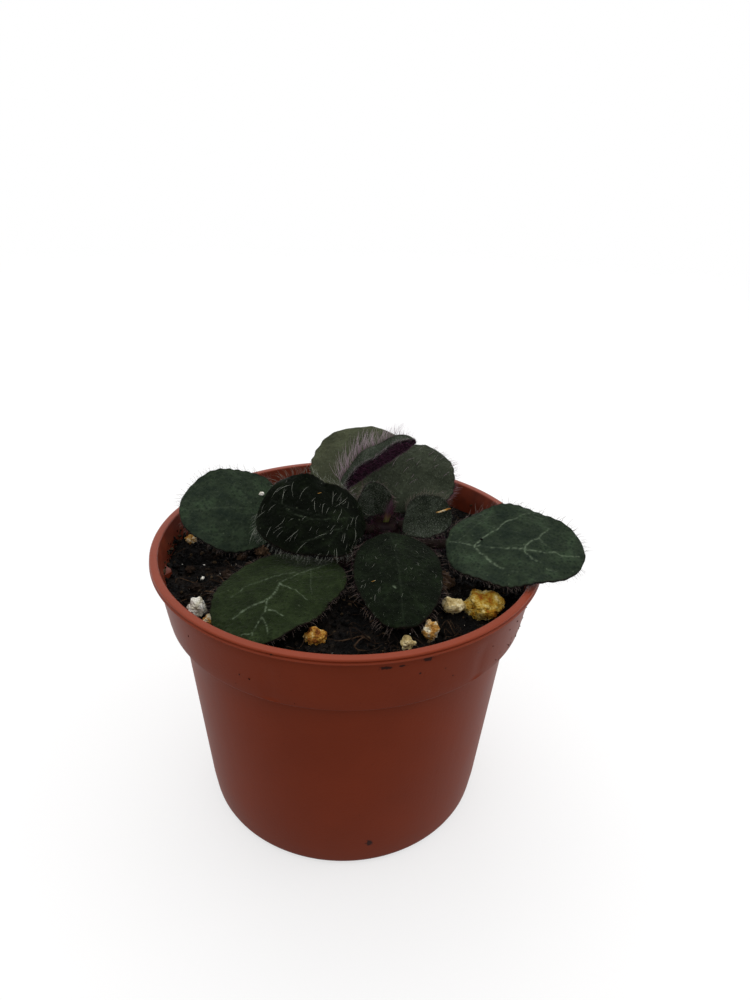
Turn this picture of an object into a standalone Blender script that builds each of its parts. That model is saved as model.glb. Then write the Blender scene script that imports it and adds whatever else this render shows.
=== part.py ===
"""A young primulina, a hairy-leaved house plant, in the small plastic nursery pot that it was sold in.

Metres, +Z up. The origin is the middle of the pot's flat underside, and -Y is the front of the plant.
Sizes below are in millimetres, and MM turns them into metres.
"""

import math

import bmesh
import bpy
from mathutils import Matrix, Vector, noise

MM = 0.001
GAP = 0.3            # clearance between two pieces that touch

# Pot: a 9 cm nursery pot of thin moulded plastic
POT_HEIGHT = 68.5
LIP_RADIUS = 45.0
LIP_HEIGHT = 1.3
MOUTH_RADIUS = 43.0
COLLAR_TOP_RADIUS = 43.8
COLLAR_FOOT_RADIUS = 41.8
COLLAR_HEIGHT = 14.9
WALL_TOP_RADIUS = 39.3
FOOT_RADIUS = 34.4
FOOT_ROUND = 2.4
WALL = 1.2
FLOOR = 1.6
POT_SIDES = 48
RIB_COUNT = 6        # stacking ribs inside the collar
RIB_FIRST_DEG = 12.0
RIB_WIDTH_DEG = 3.0
RIB_DEPTH = 1.3
RIB_TOP = 63.5
DRAIN_HOLES = 6
DRAIN_RADIUS = 3.2
DRAIN_CIRCLE = 24.0

# Soil: fills the pot to just below the lip
SOIL_EDGE_HEIGHT = 62.0
SOIL_CROWN_HEIGHT = 64.0
SOIL_ROUGHNESS = 1.1
SOIL_RINGS = 9
SOIL_SIDES = 36
SOIL_SEED = 3.7

# Crowns: the two short stems that the leaves grow from, standing in holes in the soil
CROWN_RADIUS = 3.4
CROWN_DEPTH = 52.0
CROWN_SIDES = 20
CROWNS = {
    "crown_front": {"at": (8.8, 4.2), "top": 71.0},
    "crown_back": {"at": (-6.5, 9.5), "top": 69.5},
}

# Bud: on top of the front crown
BUD_HEIGHT = 5.5
BUD_RADIUS = 1.5
BUD_FLATNESS = 0.6   # depth over width
BUD_LEAN = 0.12      # how far it leans back for each millimetre of height
BUD_SIDES = 10

# Leaves
PETIOLE_RADIUS = 1.15
FULL_PETIOLE_WIDTH = 12.0    # a leaf narrower than this has a thinner petiole
MIDRIB_THICKNESS = 1.1
MARGIN_THICKNESS = 0.7
MARGIN_WAVES = 2.25          # waves along one margin
MARGIN_SHIFT = 2.1           # how far the waves of the two margins are out of step
ACROSS = (-1.0, -0.72, -0.38, 0.0, 0.38, 0.72, 1.0)
BLADE_RINGS = 13
PETIOLE_RINGS = 4
PATH_STEPS = 16

# Each leaf grows from its crown at a height, and its midrib runs through the points that follow to the tip.
# "blade" is the share of that way where the blade starts, "across" points from the midrib to the leaf's left
# margin seen from its base, "fold" lifts both halves (a slope) and "cup" curls the margins up (a share of the
# half width). "wave" is the height of the waves in the margin. "widest" over 1 puts the widest place nearer
# the tip, and a small "round" gives a full, blunt outline.
LEAVES = {
    "leaf_left": {
        "crown": "crown_back", "height": 66.8,
        "midrib": [(-12.5, 9.6, 68.4), (-20.0, 7.8, 70.8), (-31.0, 4.0, 73.0), (-39.6, 1.6, 73.0)],
        "blade": 0.14, "width": 22.0, "across": (-0.15, -0.84, -0.52),
        "fold": 0.06, "cup": -0.10, "wave": 0.5, "widest": 1.15, "round": 0.5,
    },
    "leaf_centre_left": {
        "crown": "crown_front", "height": 69.8,
        "midrib": [(2.6, 1.0, 72.4), (-5.0, -3.6, 75.6), (-12.5, -3.2, 77.4), (-19.2, 0.2, 78.2)],
        "blade": 0.09, "width": 19.5, "across": (0.1, -0.80, -0.60),
        "fold": 0.05, "cup": -0.12, "wave": 0.7, "widest": 1.1, "round": 0.36,
    },
    "leaf_front_left": {
        "crown": "crown_front", "height": 66.8,
        "midrib": [(2.0, -4.5, 66.2), (-4.8, -11.2, 67.0), (-13.2, -19.0, 67.2), (-16.6, -27.5, 66.6),
                   (-18.4, -36.6, 64.8)],
        "blade": 0.25, "width": 25.0, "across": (0.86, -0.50, 0.0),
        "fold": 0.0, "cup": -0.06, "wave": 0.4, "widest": 0.95, "round": 0.45,
    },
    "leaf_front": {
        "crown": "crown_front", "height": 69.2,
        "midrib": [(9.4, -2.4, 71.0), (10.8, -11.0, 71.8), (12.0, -21.0, 69.4), (12.6, -30.5, 65.4)],
        "blade": 0.08, "width": 19.0, "across": (1.0, 0.05, 0.05),
        "fold": -0.05, "cup": -0.16, "wave": 0.3, "widest": 0.95, "round": 0.5,
    },
    "leaf_right": {
        "crown": "crown_front", "height": 67.0,
        "midrib": [(18.0, -3.0, 69.2), (26.0, -6.3, 71.8), (39.0, -9.4, 73.4), (52.2, -12.2, 72.4)],
        "blade": 0.31, "width": 23.5, "across": (0.1, 0.93, 0.32),
        "fold": 0.06, "cup": -0.05, "wave": 0.6, "widest": 0.9, "round": 0.5,
    },
    "leaf_back": {
        "crown": "crown_front", "height": 66.8,
        "midrib": [(6.5, 15.0, 69.5), (4.5, 23.0, 74.5), (4.0, 30.0, 79.0), (4.5, 37.0, 82.2)],
        "blade": 0.22, "width": 30.5, "across": (-1.0, 0.0, 0.0),
        "fold": 0.06, "cup": -0.10, "wave": 0.5, "widest": 0.95, "round": 0.5,
    },
    "leaf_back_right": {
        "crown": "crown_front", "height": 69.6,
        "midrib": [(11.5, 10.5, 73.0), (14.0, 15.5, 76.5), (16.4, 20.5, 79.8), (18.6, 25.8, 81.8)],
        "blade": 0.12, "width": 23.0, "across": (-0.95, 0.28, 0.0),
        "fold": 0.08, "cup": -0.10, "wave": 0.5, "widest": 0.82, "round": 0.48,
    },
    "leaf_folded": {
        "crown": "crown_back", "height": 67.4,
        "midrib": [(-1.6, 12.6, 74.4), (2.6, 13.6, 78.0), (9.2, 16.4, 81.8), (15.7, 20.0, 85.4)],
        "blade": 0.30, "width": 5.4, "across": (-0.3, 0.93, -0.07),
        "fold": 1.5, "cup": 0.0, "wave": 0.3, "widest": 1.0, "round": 0.4,
    },
    "leaf_small_left": {
        "crown": "crown_front", "height": 70.0,
        "midrib": [(5.8, 8.9, 72.0), (5.4, 8.7, 76.0), (4.9, 8.6, 79.2)],
        "blade": 0.22, "width": 8.2, "across": (-0.95, -0.25, 0.2),
        "fold": 0.3, "cup": 0.10, "wave": 0.2, "widest": 1.1, "round": 0.5,
    },
    "leaf_small_right": {
        "crown": "crown_front", "height": 70.6,
        "midrib": [(16.2, 3.1, 71.6), (19.6, 2.9, 72.6), (24.2, 2.2, 73.2)],
        "blade": 0.16, "width": 11.0, "across": (0.1, 0.78, 0.60),
        "fold": 0.2, "cup": 0.05, "wave": 0.3, "widest": 1.1, "round": 0.5,
    },
}

# Perlite and stone grains: place on the soil, mean size, height over width, and colour
GRAINS = {
    "grain_gold_large": {"at": (30.2, -18.4), "size": 8.4, "tall": 0.72, "colour": "gold"},
    "grain_cream": {"at": (23.3, -20.4), "size": 4.4, "tall": 0.9, "colour": "white"},
    "grain_gold_tall": {"at": (18.2, -28.4), "size": 3.2, "tall": 1.6, "colour": "gold"},
    "grain_pale": {"at": (13.6, -31.6), "size": 2.9, "tall": 0.9, "colour": "white"},
    "grain_gold_front": {"at": (-4.9, -31.6), "size": 4.2, "tall": 0.9, "colour": "gold"},
    "grain_white_left": {"at": (-30.6, -22.4), "size": 4.0, "tall": 1.1, "colour": "white"},
    "grain_gold_left": {"at": (-27.4, -26.4), "size": 2.6, "tall": 0.8, "colour": "gold"},
    "grain_tan_left": {"at": (-38.6, 6.3), "size": 2.6, "tall": 0.8, "colour": "gold"},
}
GRAIN_SUNK = 0.3     # share of its height that a grain is sunk in the soil

COLOURS = {          # red, green and blue, roughness
    "terracotta plastic": (0.20, 0.042, 0.024, 0.45),
    "peat": (0.012, 0.009, 0.007, 0.95),
    "stem": (0.10, 0.035, 0.05, 0.7),
    "leaf": (0.013, 0.032, 0.014, 0.6),
    "white": (0.65, 0.60, 0.48, 0.9),
    "gold": (0.50, 0.30, 0.08, 0.9),
}


def material(name):
    """A material from COLOURS, made once."""
    made = bpy.data.materials.get(name)
    if made:
        return made
    made = bpy.data.materials.new(name)
    made.use_nodes = True
    red, green, blue, roughness = COLOURS[name]
    shader = made.node_tree.nodes["Principled BSDF"]
    shader.inputs["Base Color"].default_value = (red, green, blue, 1.0)
    shader.inputs["Roughness"].default_value = roughness
    shader.inputs["Metallic"].default_value = 0.0
    made.diffuse_color = (red, green, blue, 1.0)
    return made


def add_object(name, points, faces, material_name):
    """An object from points in millimetres and faces, triangulated, with its place in its mesh."""
    mesh = bpy.data.meshes.new(name)
    mesh.from_pydata([Vector(p) * MM for p in points], [], faces)
    work = bmesh.new()
    work.from_mesh(mesh)
    bmesh.ops.triangulate(work, faces=work.faces[:])
    bmesh.ops.recalc_face_normals(work, faces=work.faces[:])
    work.to_mesh(mesh)
    work.free()
    mesh.shade_smooth()
    mesh.set_sharp_from_angle(angle=math.radians(40))
    mesh.materials.append(material(material_name))
    made = bpy.data.objects.new(name, mesh)
    bpy.context.collection.objects.link(made)
    return made


def cut(piece, cutters, solver="EXACT"):
    """Takes the cutters out of the piece, one after another, and removes them. MANIFOLD is for the pot,
    whose ribbed wall the exact solver leaves open at a few edges."""
    for cutter in cutters:
        modifier = piece.modifiers.new("cut", "BOOLEAN")
        modifier.operation = "DIFFERENCE"
        modifier.solver = solver
        modifier.object = cutter
        bpy.context.view_layer.update()
        result = bpy.data.meshes.new_from_object(piece.evaluated_get(bpy.context.evaluated_depsgraph_get()))
        piece.modifiers.clear()
        piece.data = result
        bpy.data.objects.remove(cutter)


def revolve(profile, angles, radius_at=None):
    """Points and faces of a closed solid turned about Z. The profile's first and last points lie on the axis.
    radius_at(radius, height, angle) may change a radius, for ribs."""
    ring = profile[1:-1]
    points = []
    for angle in angles:
        for radius, height in ring:
            if radius_at:
                radius = radius_at(radius, height, angle)
            points.append((radius * math.cos(angle), radius * math.sin(angle), height))
    first, last = len(points), len(points) + 1
    points += [(0.0, 0.0, profile[0][1]), (0.0, 0.0, profile[-1][1])]
    rows, columns = len(ring), len(angles)
    faces = []
    for c in range(columns):
        here, there = c * rows, (c + 1) % columns * rows
        faces.append((first, there, here))
        faces.append((last, here + rows - 1, there + rows - 1))
        for r in range(rows - 1):
            faces.append((here + r, there + r, there + r + 1, here + r + 1))
    return points, faces


def inner_radius(height):
    """The radius of the pot's inside at a height, without the ribs."""
    step = POT_HEIGHT - COLLAR_HEIGHT
    if height > step + WALL:
        share = (height - step) / COLLAR_HEIGHT
        return COLLAR_FOOT_RADIUS + (COLLAR_TOP_RADIUS - COLLAR_FOOT_RADIUS) * share - WALL
    share = height / step
    return FOOT_RADIUS + (WALL_TOP_RADIUS - FOOT_RADIUS) * share - WALL


def make_pot():
    """The pot: one thin moulding with a stepped collar, a lip, ribs inside the collar and drain holes."""
    step = POT_HEIGHT - COLLAR_HEIGHT
    lip = POT_HEIGHT - LIP_HEIGHT
    outside = [(0.0, 0.0)]
    for degrees in (-90, -45, 0):
        turn = math.radians(degrees)
        outside.append((FOOT_RADIUS - FOOT_ROUND + FOOT_ROUND * math.cos(turn),
                        FOOT_ROUND + FOOT_ROUND * math.sin(turn)))
    outside += [
        (WALL_TOP_RADIUS, step - 1.2),
        (WALL_TOP_RADIUS + 0.5, step - 0.3),
        (COLLAR_FOOT_RADIUS - 0.4, step),
        (COLLAR_FOOT_RADIUS, step + 0.5),
        (COLLAR_TOP_RADIUS, lip - 0.5),
        (COLLAR_TOP_RADIUS + 0.1, lip),
        (LIP_RADIUS - 0.1, lip + 0.2),
        (LIP_RADIUS, lip + 0.7),
        (LIP_RADIUS - 0.5, POT_HEIGHT),
    ]
    floor_edge = inner_radius(FLOOR + 2.0)
    inside = [
        (MOUTH_RADIUS + 0.4, POT_HEIGHT),
        (MOUTH_RADIUS, POT_HEIGHT - 0.5),
        (inner_radius(lip - 1.0), lip - 1.0),
        (inner_radius(RIB_TOP), RIB_TOP),
        (inner_radius(RIB_TOP - 1.0), RIB_TOP - 1.0),
        (inner_radius(step + WALL + 0.6), step + WALL + 0.6),
        (inner_radius(step + WALL + 0.6) - 0.6, step + WALL),
        (inner_radius(step), step + WALL - 0.2),
        (inner_radius(step - 1.5), step - 1.5),
        (floor_edge, FLOOR + 2.0),
        (floor_edge - 1.6, FLOOR),
        (0.0, FLOOR),
    ]
    ribs = [math.radians(RIB_FIRST_DEG + k * 360.0 / RIB_COUNT) for k in range(RIB_COUNT)]
    half = math.radians(RIB_WIDTH_DEG) / 2
    edge = half * 1.35

    def off_rib(angle):
        return min(abs(math.remainder(angle - rib, math.tau)) for rib in ribs)

    spacing = math.tau / POT_SIDES
    angles = [k * spacing for k in range(POT_SIDES) if off_rib(k * spacing) > edge + spacing * 0.2]
    angles += [rib + side for rib in ribs for side in (-edge, -half, half, edge)]
    angles.sort()

    def with_ribs(radius, height, angle):
        on_face = step + WALL + 0.5 < height < RIB_TOP - 0.5
        inner = radius < inner_radius(height) + 0.1
        if on_face and inner and off_rib(angle) < half * 1.1:
            return radius - RIB_DEPTH
        return radius

    points, faces = revolve(outside + inside, angles, with_ribs)
    pot = add_object("pot", points, faces, "terracotta plastic")
    holes = []
    for k in range(DRAIN_HOLES):
        turn = math.tau * (k + 0.5) / DRAIN_HOLES
        place = Vector((DRAIN_CIRCLE * math.cos(turn), DRAIN_CIRCLE * math.sin(turn), FLOOR / 2)) * MM
        holes.append(add_cylinder("drain", place, DRAIN_RADIUS * MM, 3 * FLOOR * MM, 16))
    cut(pot, holes, "MANIFOLD")
    return pot


def add_cylinder(name, centre, radius, depth, sides):
    """A plain upright cylinder, in metres, used as a cutter."""
    mesh = bpy.data.meshes.new(name)
    work = bmesh.new()
    bmesh.ops.create_cone(work, cap_ends=True, segments=sides, radius1=radius, radius2=radius, depth=depth,
                          matrix=Matrix.Translation(centre))
    work.to_mesh(mesh)
    work.free()
    made = bpy.data.objects.new(name, mesh)
    made.hide_render = True
    made.display_type = "WIRE"
    bpy.context.collection.objects.link(made)
    return made


def soil_height(x, y):
    """The height of the soil at a place: a low mound, higher round the crowns, with an uneven top."""
    edge = min(1.0, math.hypot(x, y) / MOUTH_RADIUS)
    mound = SOIL_EDGE_HEIGHT + (SOIL_CROWN_HEIGHT - SOIL_EDGE_HEIGHT) * math.cos(edge * math.pi / 2)
    rough = noise.noise(Vector((x * 0.13, y * 0.13, SOIL_SEED)))
    fine = noise.noise(Vector((x * 0.35, y * 0.35, SOIL_SEED * 2)))
    return mound + SOIL_ROUGHNESS * (rough + 0.4 * fine)


def make_soil():
    """The soil: one block that fills the pot, with an uneven top."""
    step = POT_HEIGHT - COLLAR_HEIGHT
    floor = FLOOR + GAP
    side = [
        (inner_radius(FLOOR + 2.0) - 2.2, floor),
        (inner_radius(FLOOR + 2.0) - GAP, FLOOR + 2.3),
        (inner_radius(step - 1.5) - GAP, step - 1.5),
        (inner_radius(step) - GAP, step + WALL + 0.1),
        (inner_radius(step + WALL + 0.6) - RIB_DEPTH - GAP, step + WALL + 0.9),
    ]
    rim = inner_radius(SOIL_EDGE_HEIGHT - 2.0) - RIB_DEPTH - GAP
    points, faces = [], []
    for c in range(SOIL_SIDES):
        turn = math.tau * c / SOIL_SIDES
        across, along = math.cos(turn), math.sin(turn)
        points += [(r * across, r * along, z) for r, z in side]
        for k in range(SOIL_RINGS):
            radius = rim * (1.0 - k / SOIL_RINGS)
            x, y = radius * across, radius * along
            points.append((x, y, soil_height(x, y)))
    rows = len(side) + SOIL_RINGS
    bottom, top = len(points), len(points) + 1
    points += [(0.0, 0.0, floor), (0.0, 0.0, soil_height(0.0, 0.0))]
    for c in range(SOIL_SIDES):
        here, there = c * rows, (c + 1) % SOIL_SIDES * rows
        faces.append((bottom, there, here))
        faces.append((top, here + rows - 1, there + rows - 1))
        for r in range(rows - 1):
            faces.append((here + r, there + r, there + r + 1, here + r + 1))
    soil = add_object("soil", points, faces, "peat")
    holes = []
    for crown in CROWNS.values():
        x, y = crown["at"]
        bottom = CROWN_DEPTH - GAP
        depth = POT_HEIGHT + 10.0 - bottom
        place = Vector((x, y, bottom + depth / 2)) * MM
        holes.append(add_cylinder("stem hole", place, (CROWN_RADIUS + GAP) * MM, depth * MM, CROWN_SIDES))
    for name in GRAINS:
        holes.append(make_grain(name, grown=GAP))
    cut(soil, holes)
    return soil


def make_grain(name, grown=0.0):
    """One lumpy grain, sunk a little in the soil. A grown one is the hole that it lies in."""
    grain = GRAINS[name]
    x, y = grain["at"]
    half = grain["size"] / 2
    height = half * grain["tall"]
    centre = Vector((x, y, soil_height(x, y) + height * (1.0 - 2.0 * GRAIN_SUNK)))
    work = bmesh.new()
    bmesh.ops.create_icosphere(work, subdivisions=2, radius=1.0)
    points = []
    for vertex in work.verts:
        way = vertex.co.normalized()
        lump = 1.0 + 0.28 * noise.noise(way * 1.7 + Vector((x, y, 0.0)))
        point = Vector((way.x * half * lump, way.y * half * lump, way.z * height * lump))
        points.append(centre + point + way * grown)
    faces = [[v.index for v in face.verts] for face in work.faces]
    work.free()
    return add_object(name, points, faces, grain["colour"])


def make_crown(name):
    """One crown: a short round stem with a domed top."""
    crown = CROWNS[name]
    x, y = crown["at"]
    top = crown["top"]
    profile = [
        (0.0, CROWN_DEPTH),
        (CROWN_RADIUS * 0.7, CROWN_DEPTH),
        (CROWN_RADIUS, CROWN_DEPTH + 3.0),
        (CROWN_RADIUS, top - 1.6),
        (CROWN_RADIUS * 0.8, top - 0.5),
        (CROWN_RADIUS * 0.45, top),
        (0.0, top),
    ]
    angles = [math.tau * k / CROWN_SIDES for k in range(CROWN_SIDES)]
    points, faces = revolve(profile, angles)
    points = [(px + x, py + y, pz) for px, py, pz in points]
    return add_object(name, points, faces, "stem")


def make_bud():
    """The bud in the middle of the front crown: two leaves still closed, as one pointed form."""
    x, y = CROWNS["crown_front"]["at"]
    foot = CROWNS["crown_front"]["top"] + GAP
    profile = [
        (0.0, foot),
        (BUD_RADIUS * 0.8, foot),
        (BUD_RADIUS, foot + BUD_HEIGHT * 0.35),
        (BUD_RADIUS * 0.5, foot + BUD_HEIGHT * 0.8),
        (0.0, foot + BUD_HEIGHT),
    ]
    angles = [math.tau * k / BUD_SIDES for k in range(BUD_SIDES)]
    points, faces = revolve(profile, angles)
    leaning = [(x + px, y + BUD_FLATNESS * py + BUD_LEAN * (pz - foot), pz) for px, py, pz in points]
    return add_object("bud", leaning, faces, "leaf")


def smooth_path(points, shares):
    """Points at the given shares of the length of a smooth curve through the points."""
    spans = [(b - a).length for a, b in zip(points, points[1:])]
    slopes = [(b - a) / span for a, b, span in zip(points, points[1:], spans)]
    tangents = [slopes[0]]
    for k in range(len(slopes) - 1):
        before, after = spans[k], spans[k + 1]
        tangents.append((slopes[k] * after + slopes[k + 1] * before) / (before + after))
    tangents.append(slopes[-1])
    dense, lengths = [points[0]], [0.0]
    for k, span in enumerate(spans):
        for step in range(1, PATH_STEPS + 1):
            t = step / PATH_STEPS
            dense.append(points[k] * (2 * t ** 3 - 3 * t * t + 1) + points[k + 1] * (3 * t * t - 2 * t ** 3)
                         + tangents[k] * span * (t ** 3 - 2 * t * t + t)
                         + tangents[k + 1] * span * (t ** 3 - t * t))
            lengths.append(lengths[-1] + (dense[-1] - dense[-2]).length)
    found = []
    for share in shares:
        want = share * lengths[-1]
        k = next(i for i in range(1, len(dense)) if lengths[i] >= want or i == len(dense) - 1)
        found.append(dense[k - 1].lerp(dense[k], (want - lengths[k - 1]) / (lengths[k] - lengths[k - 1])))
    return found


def make_leaf(name):
    """One leaf: a round petiole that spreads into a thin waved blade, as one closed solid."""
    leaf = LEAVES[name]
    crown = CROWNS[leaf["crown"]]
    first = Vector(leaf["midrib"][0])
    root = Vector((*crown["at"], leaf["height"]))
    out = Vector((first.x - root.x, first.y - root.y, 0.0)).normalized()
    start = root + out * (CROWN_RADIUS + GAP)
    midrib = [start, start + out * PETIOLE_RADIUS] + [Vector(p) for p in leaf["midrib"]]

    blade = leaf["blade"]
    shares = [blade * k / PETIOLE_RINGS for k in range(PETIOLE_RINGS)]
    shares += [blade + (1.0 - blade) * 0.5 * (1 - math.cos(math.pi * k / BLADE_RINGS)) for k in range(BLADE_RINGS)]
    shares.append(1.0)
    spine = smooth_path(midrib, shares)
    left = Vector(leaf["across"]).normalized()
    half_width = leaf["width"] / 2
    last = len(ACROSS) - 1
    points, faces = [], []
    for k, share in enumerate(shares[:-1]):
        tangent = (spine[k + 1] - spine[max(0, k - 1)]).normalized()
        up = tangent.cross(left).normalized()
        side = up.cross(tangent)
        along = max(0.0, (share - blade) / (1.0 - blade))
        spread = half_width * max(0.0, math.sin(math.pi * along ** leaf["widest"])) ** leaf["round"]
        radius = PETIOLE_RADIUS * min(1.0, leaf["width"] / FULL_PETIOLE_WIDTH) * (1.0 - 0.5 * along)
        half = math.hypot(radius, spread)
        flat = min(1.0, 4.0 * spread / half_width)      # 0 is the round petiole, 1 is the thin blade
        upper, lower = [], []
        for column, u in enumerate(ACROSS):
            lift = leaf["fold"] * abs(u) * spread + leaf["cup"] * u * u * spread
            wave = math.sin(math.tau * MARGIN_WAVES * along + MARGIN_SHIFT * u)
            lift += leaf["wave"] * abs(u) ** 3 * flat * wave
            thick = MARGIN_THICKNESS + (MIDRIB_THICKNESS - MARGIN_THICKNESS) * (1.0 - abs(u))
            turn = math.pi * (column + 0.5) / (last + 1)
            round_side, round_up = -radius * math.cos(turn), radius * math.sin(turn)
            for row, sign in ((upper, 1.0), (lower, -1.0)):
                x = round_side * (1.0 - flat) + half * u * flat
                z = sign * round_up * (1.0 - flat) + (lift + sign * thick / 2) * flat
                row.append(spine[k] + side * x + up * z)
        points += upper + lower[::-1]
    size = 2 * (last + 1)
    rings = len(shares) - 1
    for k in range(rings - 1):
        here, there = k * size, (k + 1) * size
        for i in range(size):
            j = (i + 1) % size
            underside = i > last     # split like the upper face, so that the two never cross
            if underside:
                faces.append((here + i, here + j, there + i))
                faces.append((here + j, there + j, there + i))
            else:
                faces.append((here + i, here + j, there + j))
                faces.append((here + i, there + j, there + i))
    faces.append(tuple(range(size))[::-1])
    tip = len(points)
    points.append(spine[-1])
    end = (rings - 1) * size
    for i in range(size):
        faces.append((end + i, end + (i + 1) % size, tip))
    return add_object(name, points, faces, "leaf")


def main():
    for old in list(bpy.data.objects):
        bpy.data.objects.remove(old)
    make_pot()
    make_soil()
    for name in GRAINS:
        make_grain(name)
    for name in CROWNS:
        make_crown(name)
    make_bud()
    for name in LEAVES:
        make_leaf(name)


main()
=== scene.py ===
"""The looks of the potted primulina: fine meshes and materials laid over the fixed frame of its CAD model.

Blender works in metres. Tables, sizes and points below are in millimetres, and MM turns them into metres.
"""

import math
import random
from functools import partial

import bmesh
import bpy
import numpy as np
from mathutils import Matrix, Vector, noise


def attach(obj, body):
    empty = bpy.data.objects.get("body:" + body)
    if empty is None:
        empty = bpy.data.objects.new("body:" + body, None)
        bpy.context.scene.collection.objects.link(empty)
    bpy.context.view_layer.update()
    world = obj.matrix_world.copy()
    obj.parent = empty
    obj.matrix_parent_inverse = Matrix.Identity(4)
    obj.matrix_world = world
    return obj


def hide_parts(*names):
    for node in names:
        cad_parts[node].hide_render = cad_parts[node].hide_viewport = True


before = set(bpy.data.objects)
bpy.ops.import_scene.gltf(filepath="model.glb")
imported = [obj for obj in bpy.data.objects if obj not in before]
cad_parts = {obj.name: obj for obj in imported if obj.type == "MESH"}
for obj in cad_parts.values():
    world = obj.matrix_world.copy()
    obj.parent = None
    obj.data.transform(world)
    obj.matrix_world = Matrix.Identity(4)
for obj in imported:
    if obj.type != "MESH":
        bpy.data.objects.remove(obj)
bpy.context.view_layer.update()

MM = 0.001
BODY = "root"

# Pot, the same sizes as in the CAD model
POT_HEIGHT = 68.5
LIP_RADIUS = 45.0
LIP_HEIGHT = 1.3
MOUTH_RADIUS = 43.0
COLLAR_TOP_RADIUS = 43.8
COLLAR_FOOT_RADIUS = 41.8
COLLAR_HEIGHT = 14.9
WALL_TOP_RADIUS = 39.3
FOOT_RADIUS = 34.4
FOOT_ROUND = 2.4
WALL = 1.2
FLOOR = 1.6
STEP_HEIGHT = POT_HEIGHT - COLLAR_HEIGHT
RIB_COUNT = 6
RIB_FIRST_DEG = 12.0
RIB_WIDTH = 2.2
RIB_DEPTH = 1.3
RIB_TOP = 63.5
DRAIN_HOLES = 6
DRAIN_RADIUS = 3.2
DRAIN_CIRCLE = 24.0
POT_SIDES = 216
SINK_MARK_DEPTH = 0.16
SHARP_EDGE_DEG = 35.0

# Soil
SOIL_EDGE_HEIGHT = 62.0
SOIL_CROWN_HEIGHT = 64.0
SOIL_ROUGHNESS = 1.1
SOIL_SEED = 3.7
SOIL_GRID = 196

# Crowns and bud
CROWN_RADIUS = 3.4
CROWN_GAP = 0.3
CROWN_FOOT = 52.0
CROWNS = {
    "crown_front": dict(at=(8.8, 4.2), top=71.0),
    "crown_back": dict(at=(-6.5, 9.5), top=69.5),
}
BUD_HEIGHT = 5.5
BUD_RADIUS = 0.9


def spread_veins(strength, shares):
    """A midrib with side veins that leave it at the shares of the blade and arch towards the tip."""
    veins = [(strength, [(0.02, 0.0), (0.5, 0.0), (0.92, 0.0)])]
    for k, share in enumerate(shares):
        for side in (-1, 1):
            start = share + 0.02 * side
            veins.append((strength * (0.9 - 0.1 * k),
                          [(start, 0.0), (start + 0.07, 0.26 * side), (start + 0.16, 0.5 * side),
                           (start + 0.2 - 0.05 * share, 0.72 * side)]))
            veins.append((strength * 0.6, [(start + 0.09, 0.33 * side), (start + 0.08, 0.45 * side),
                                           (start + 0.1, 0.6 * side)]))
    return veins


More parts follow.
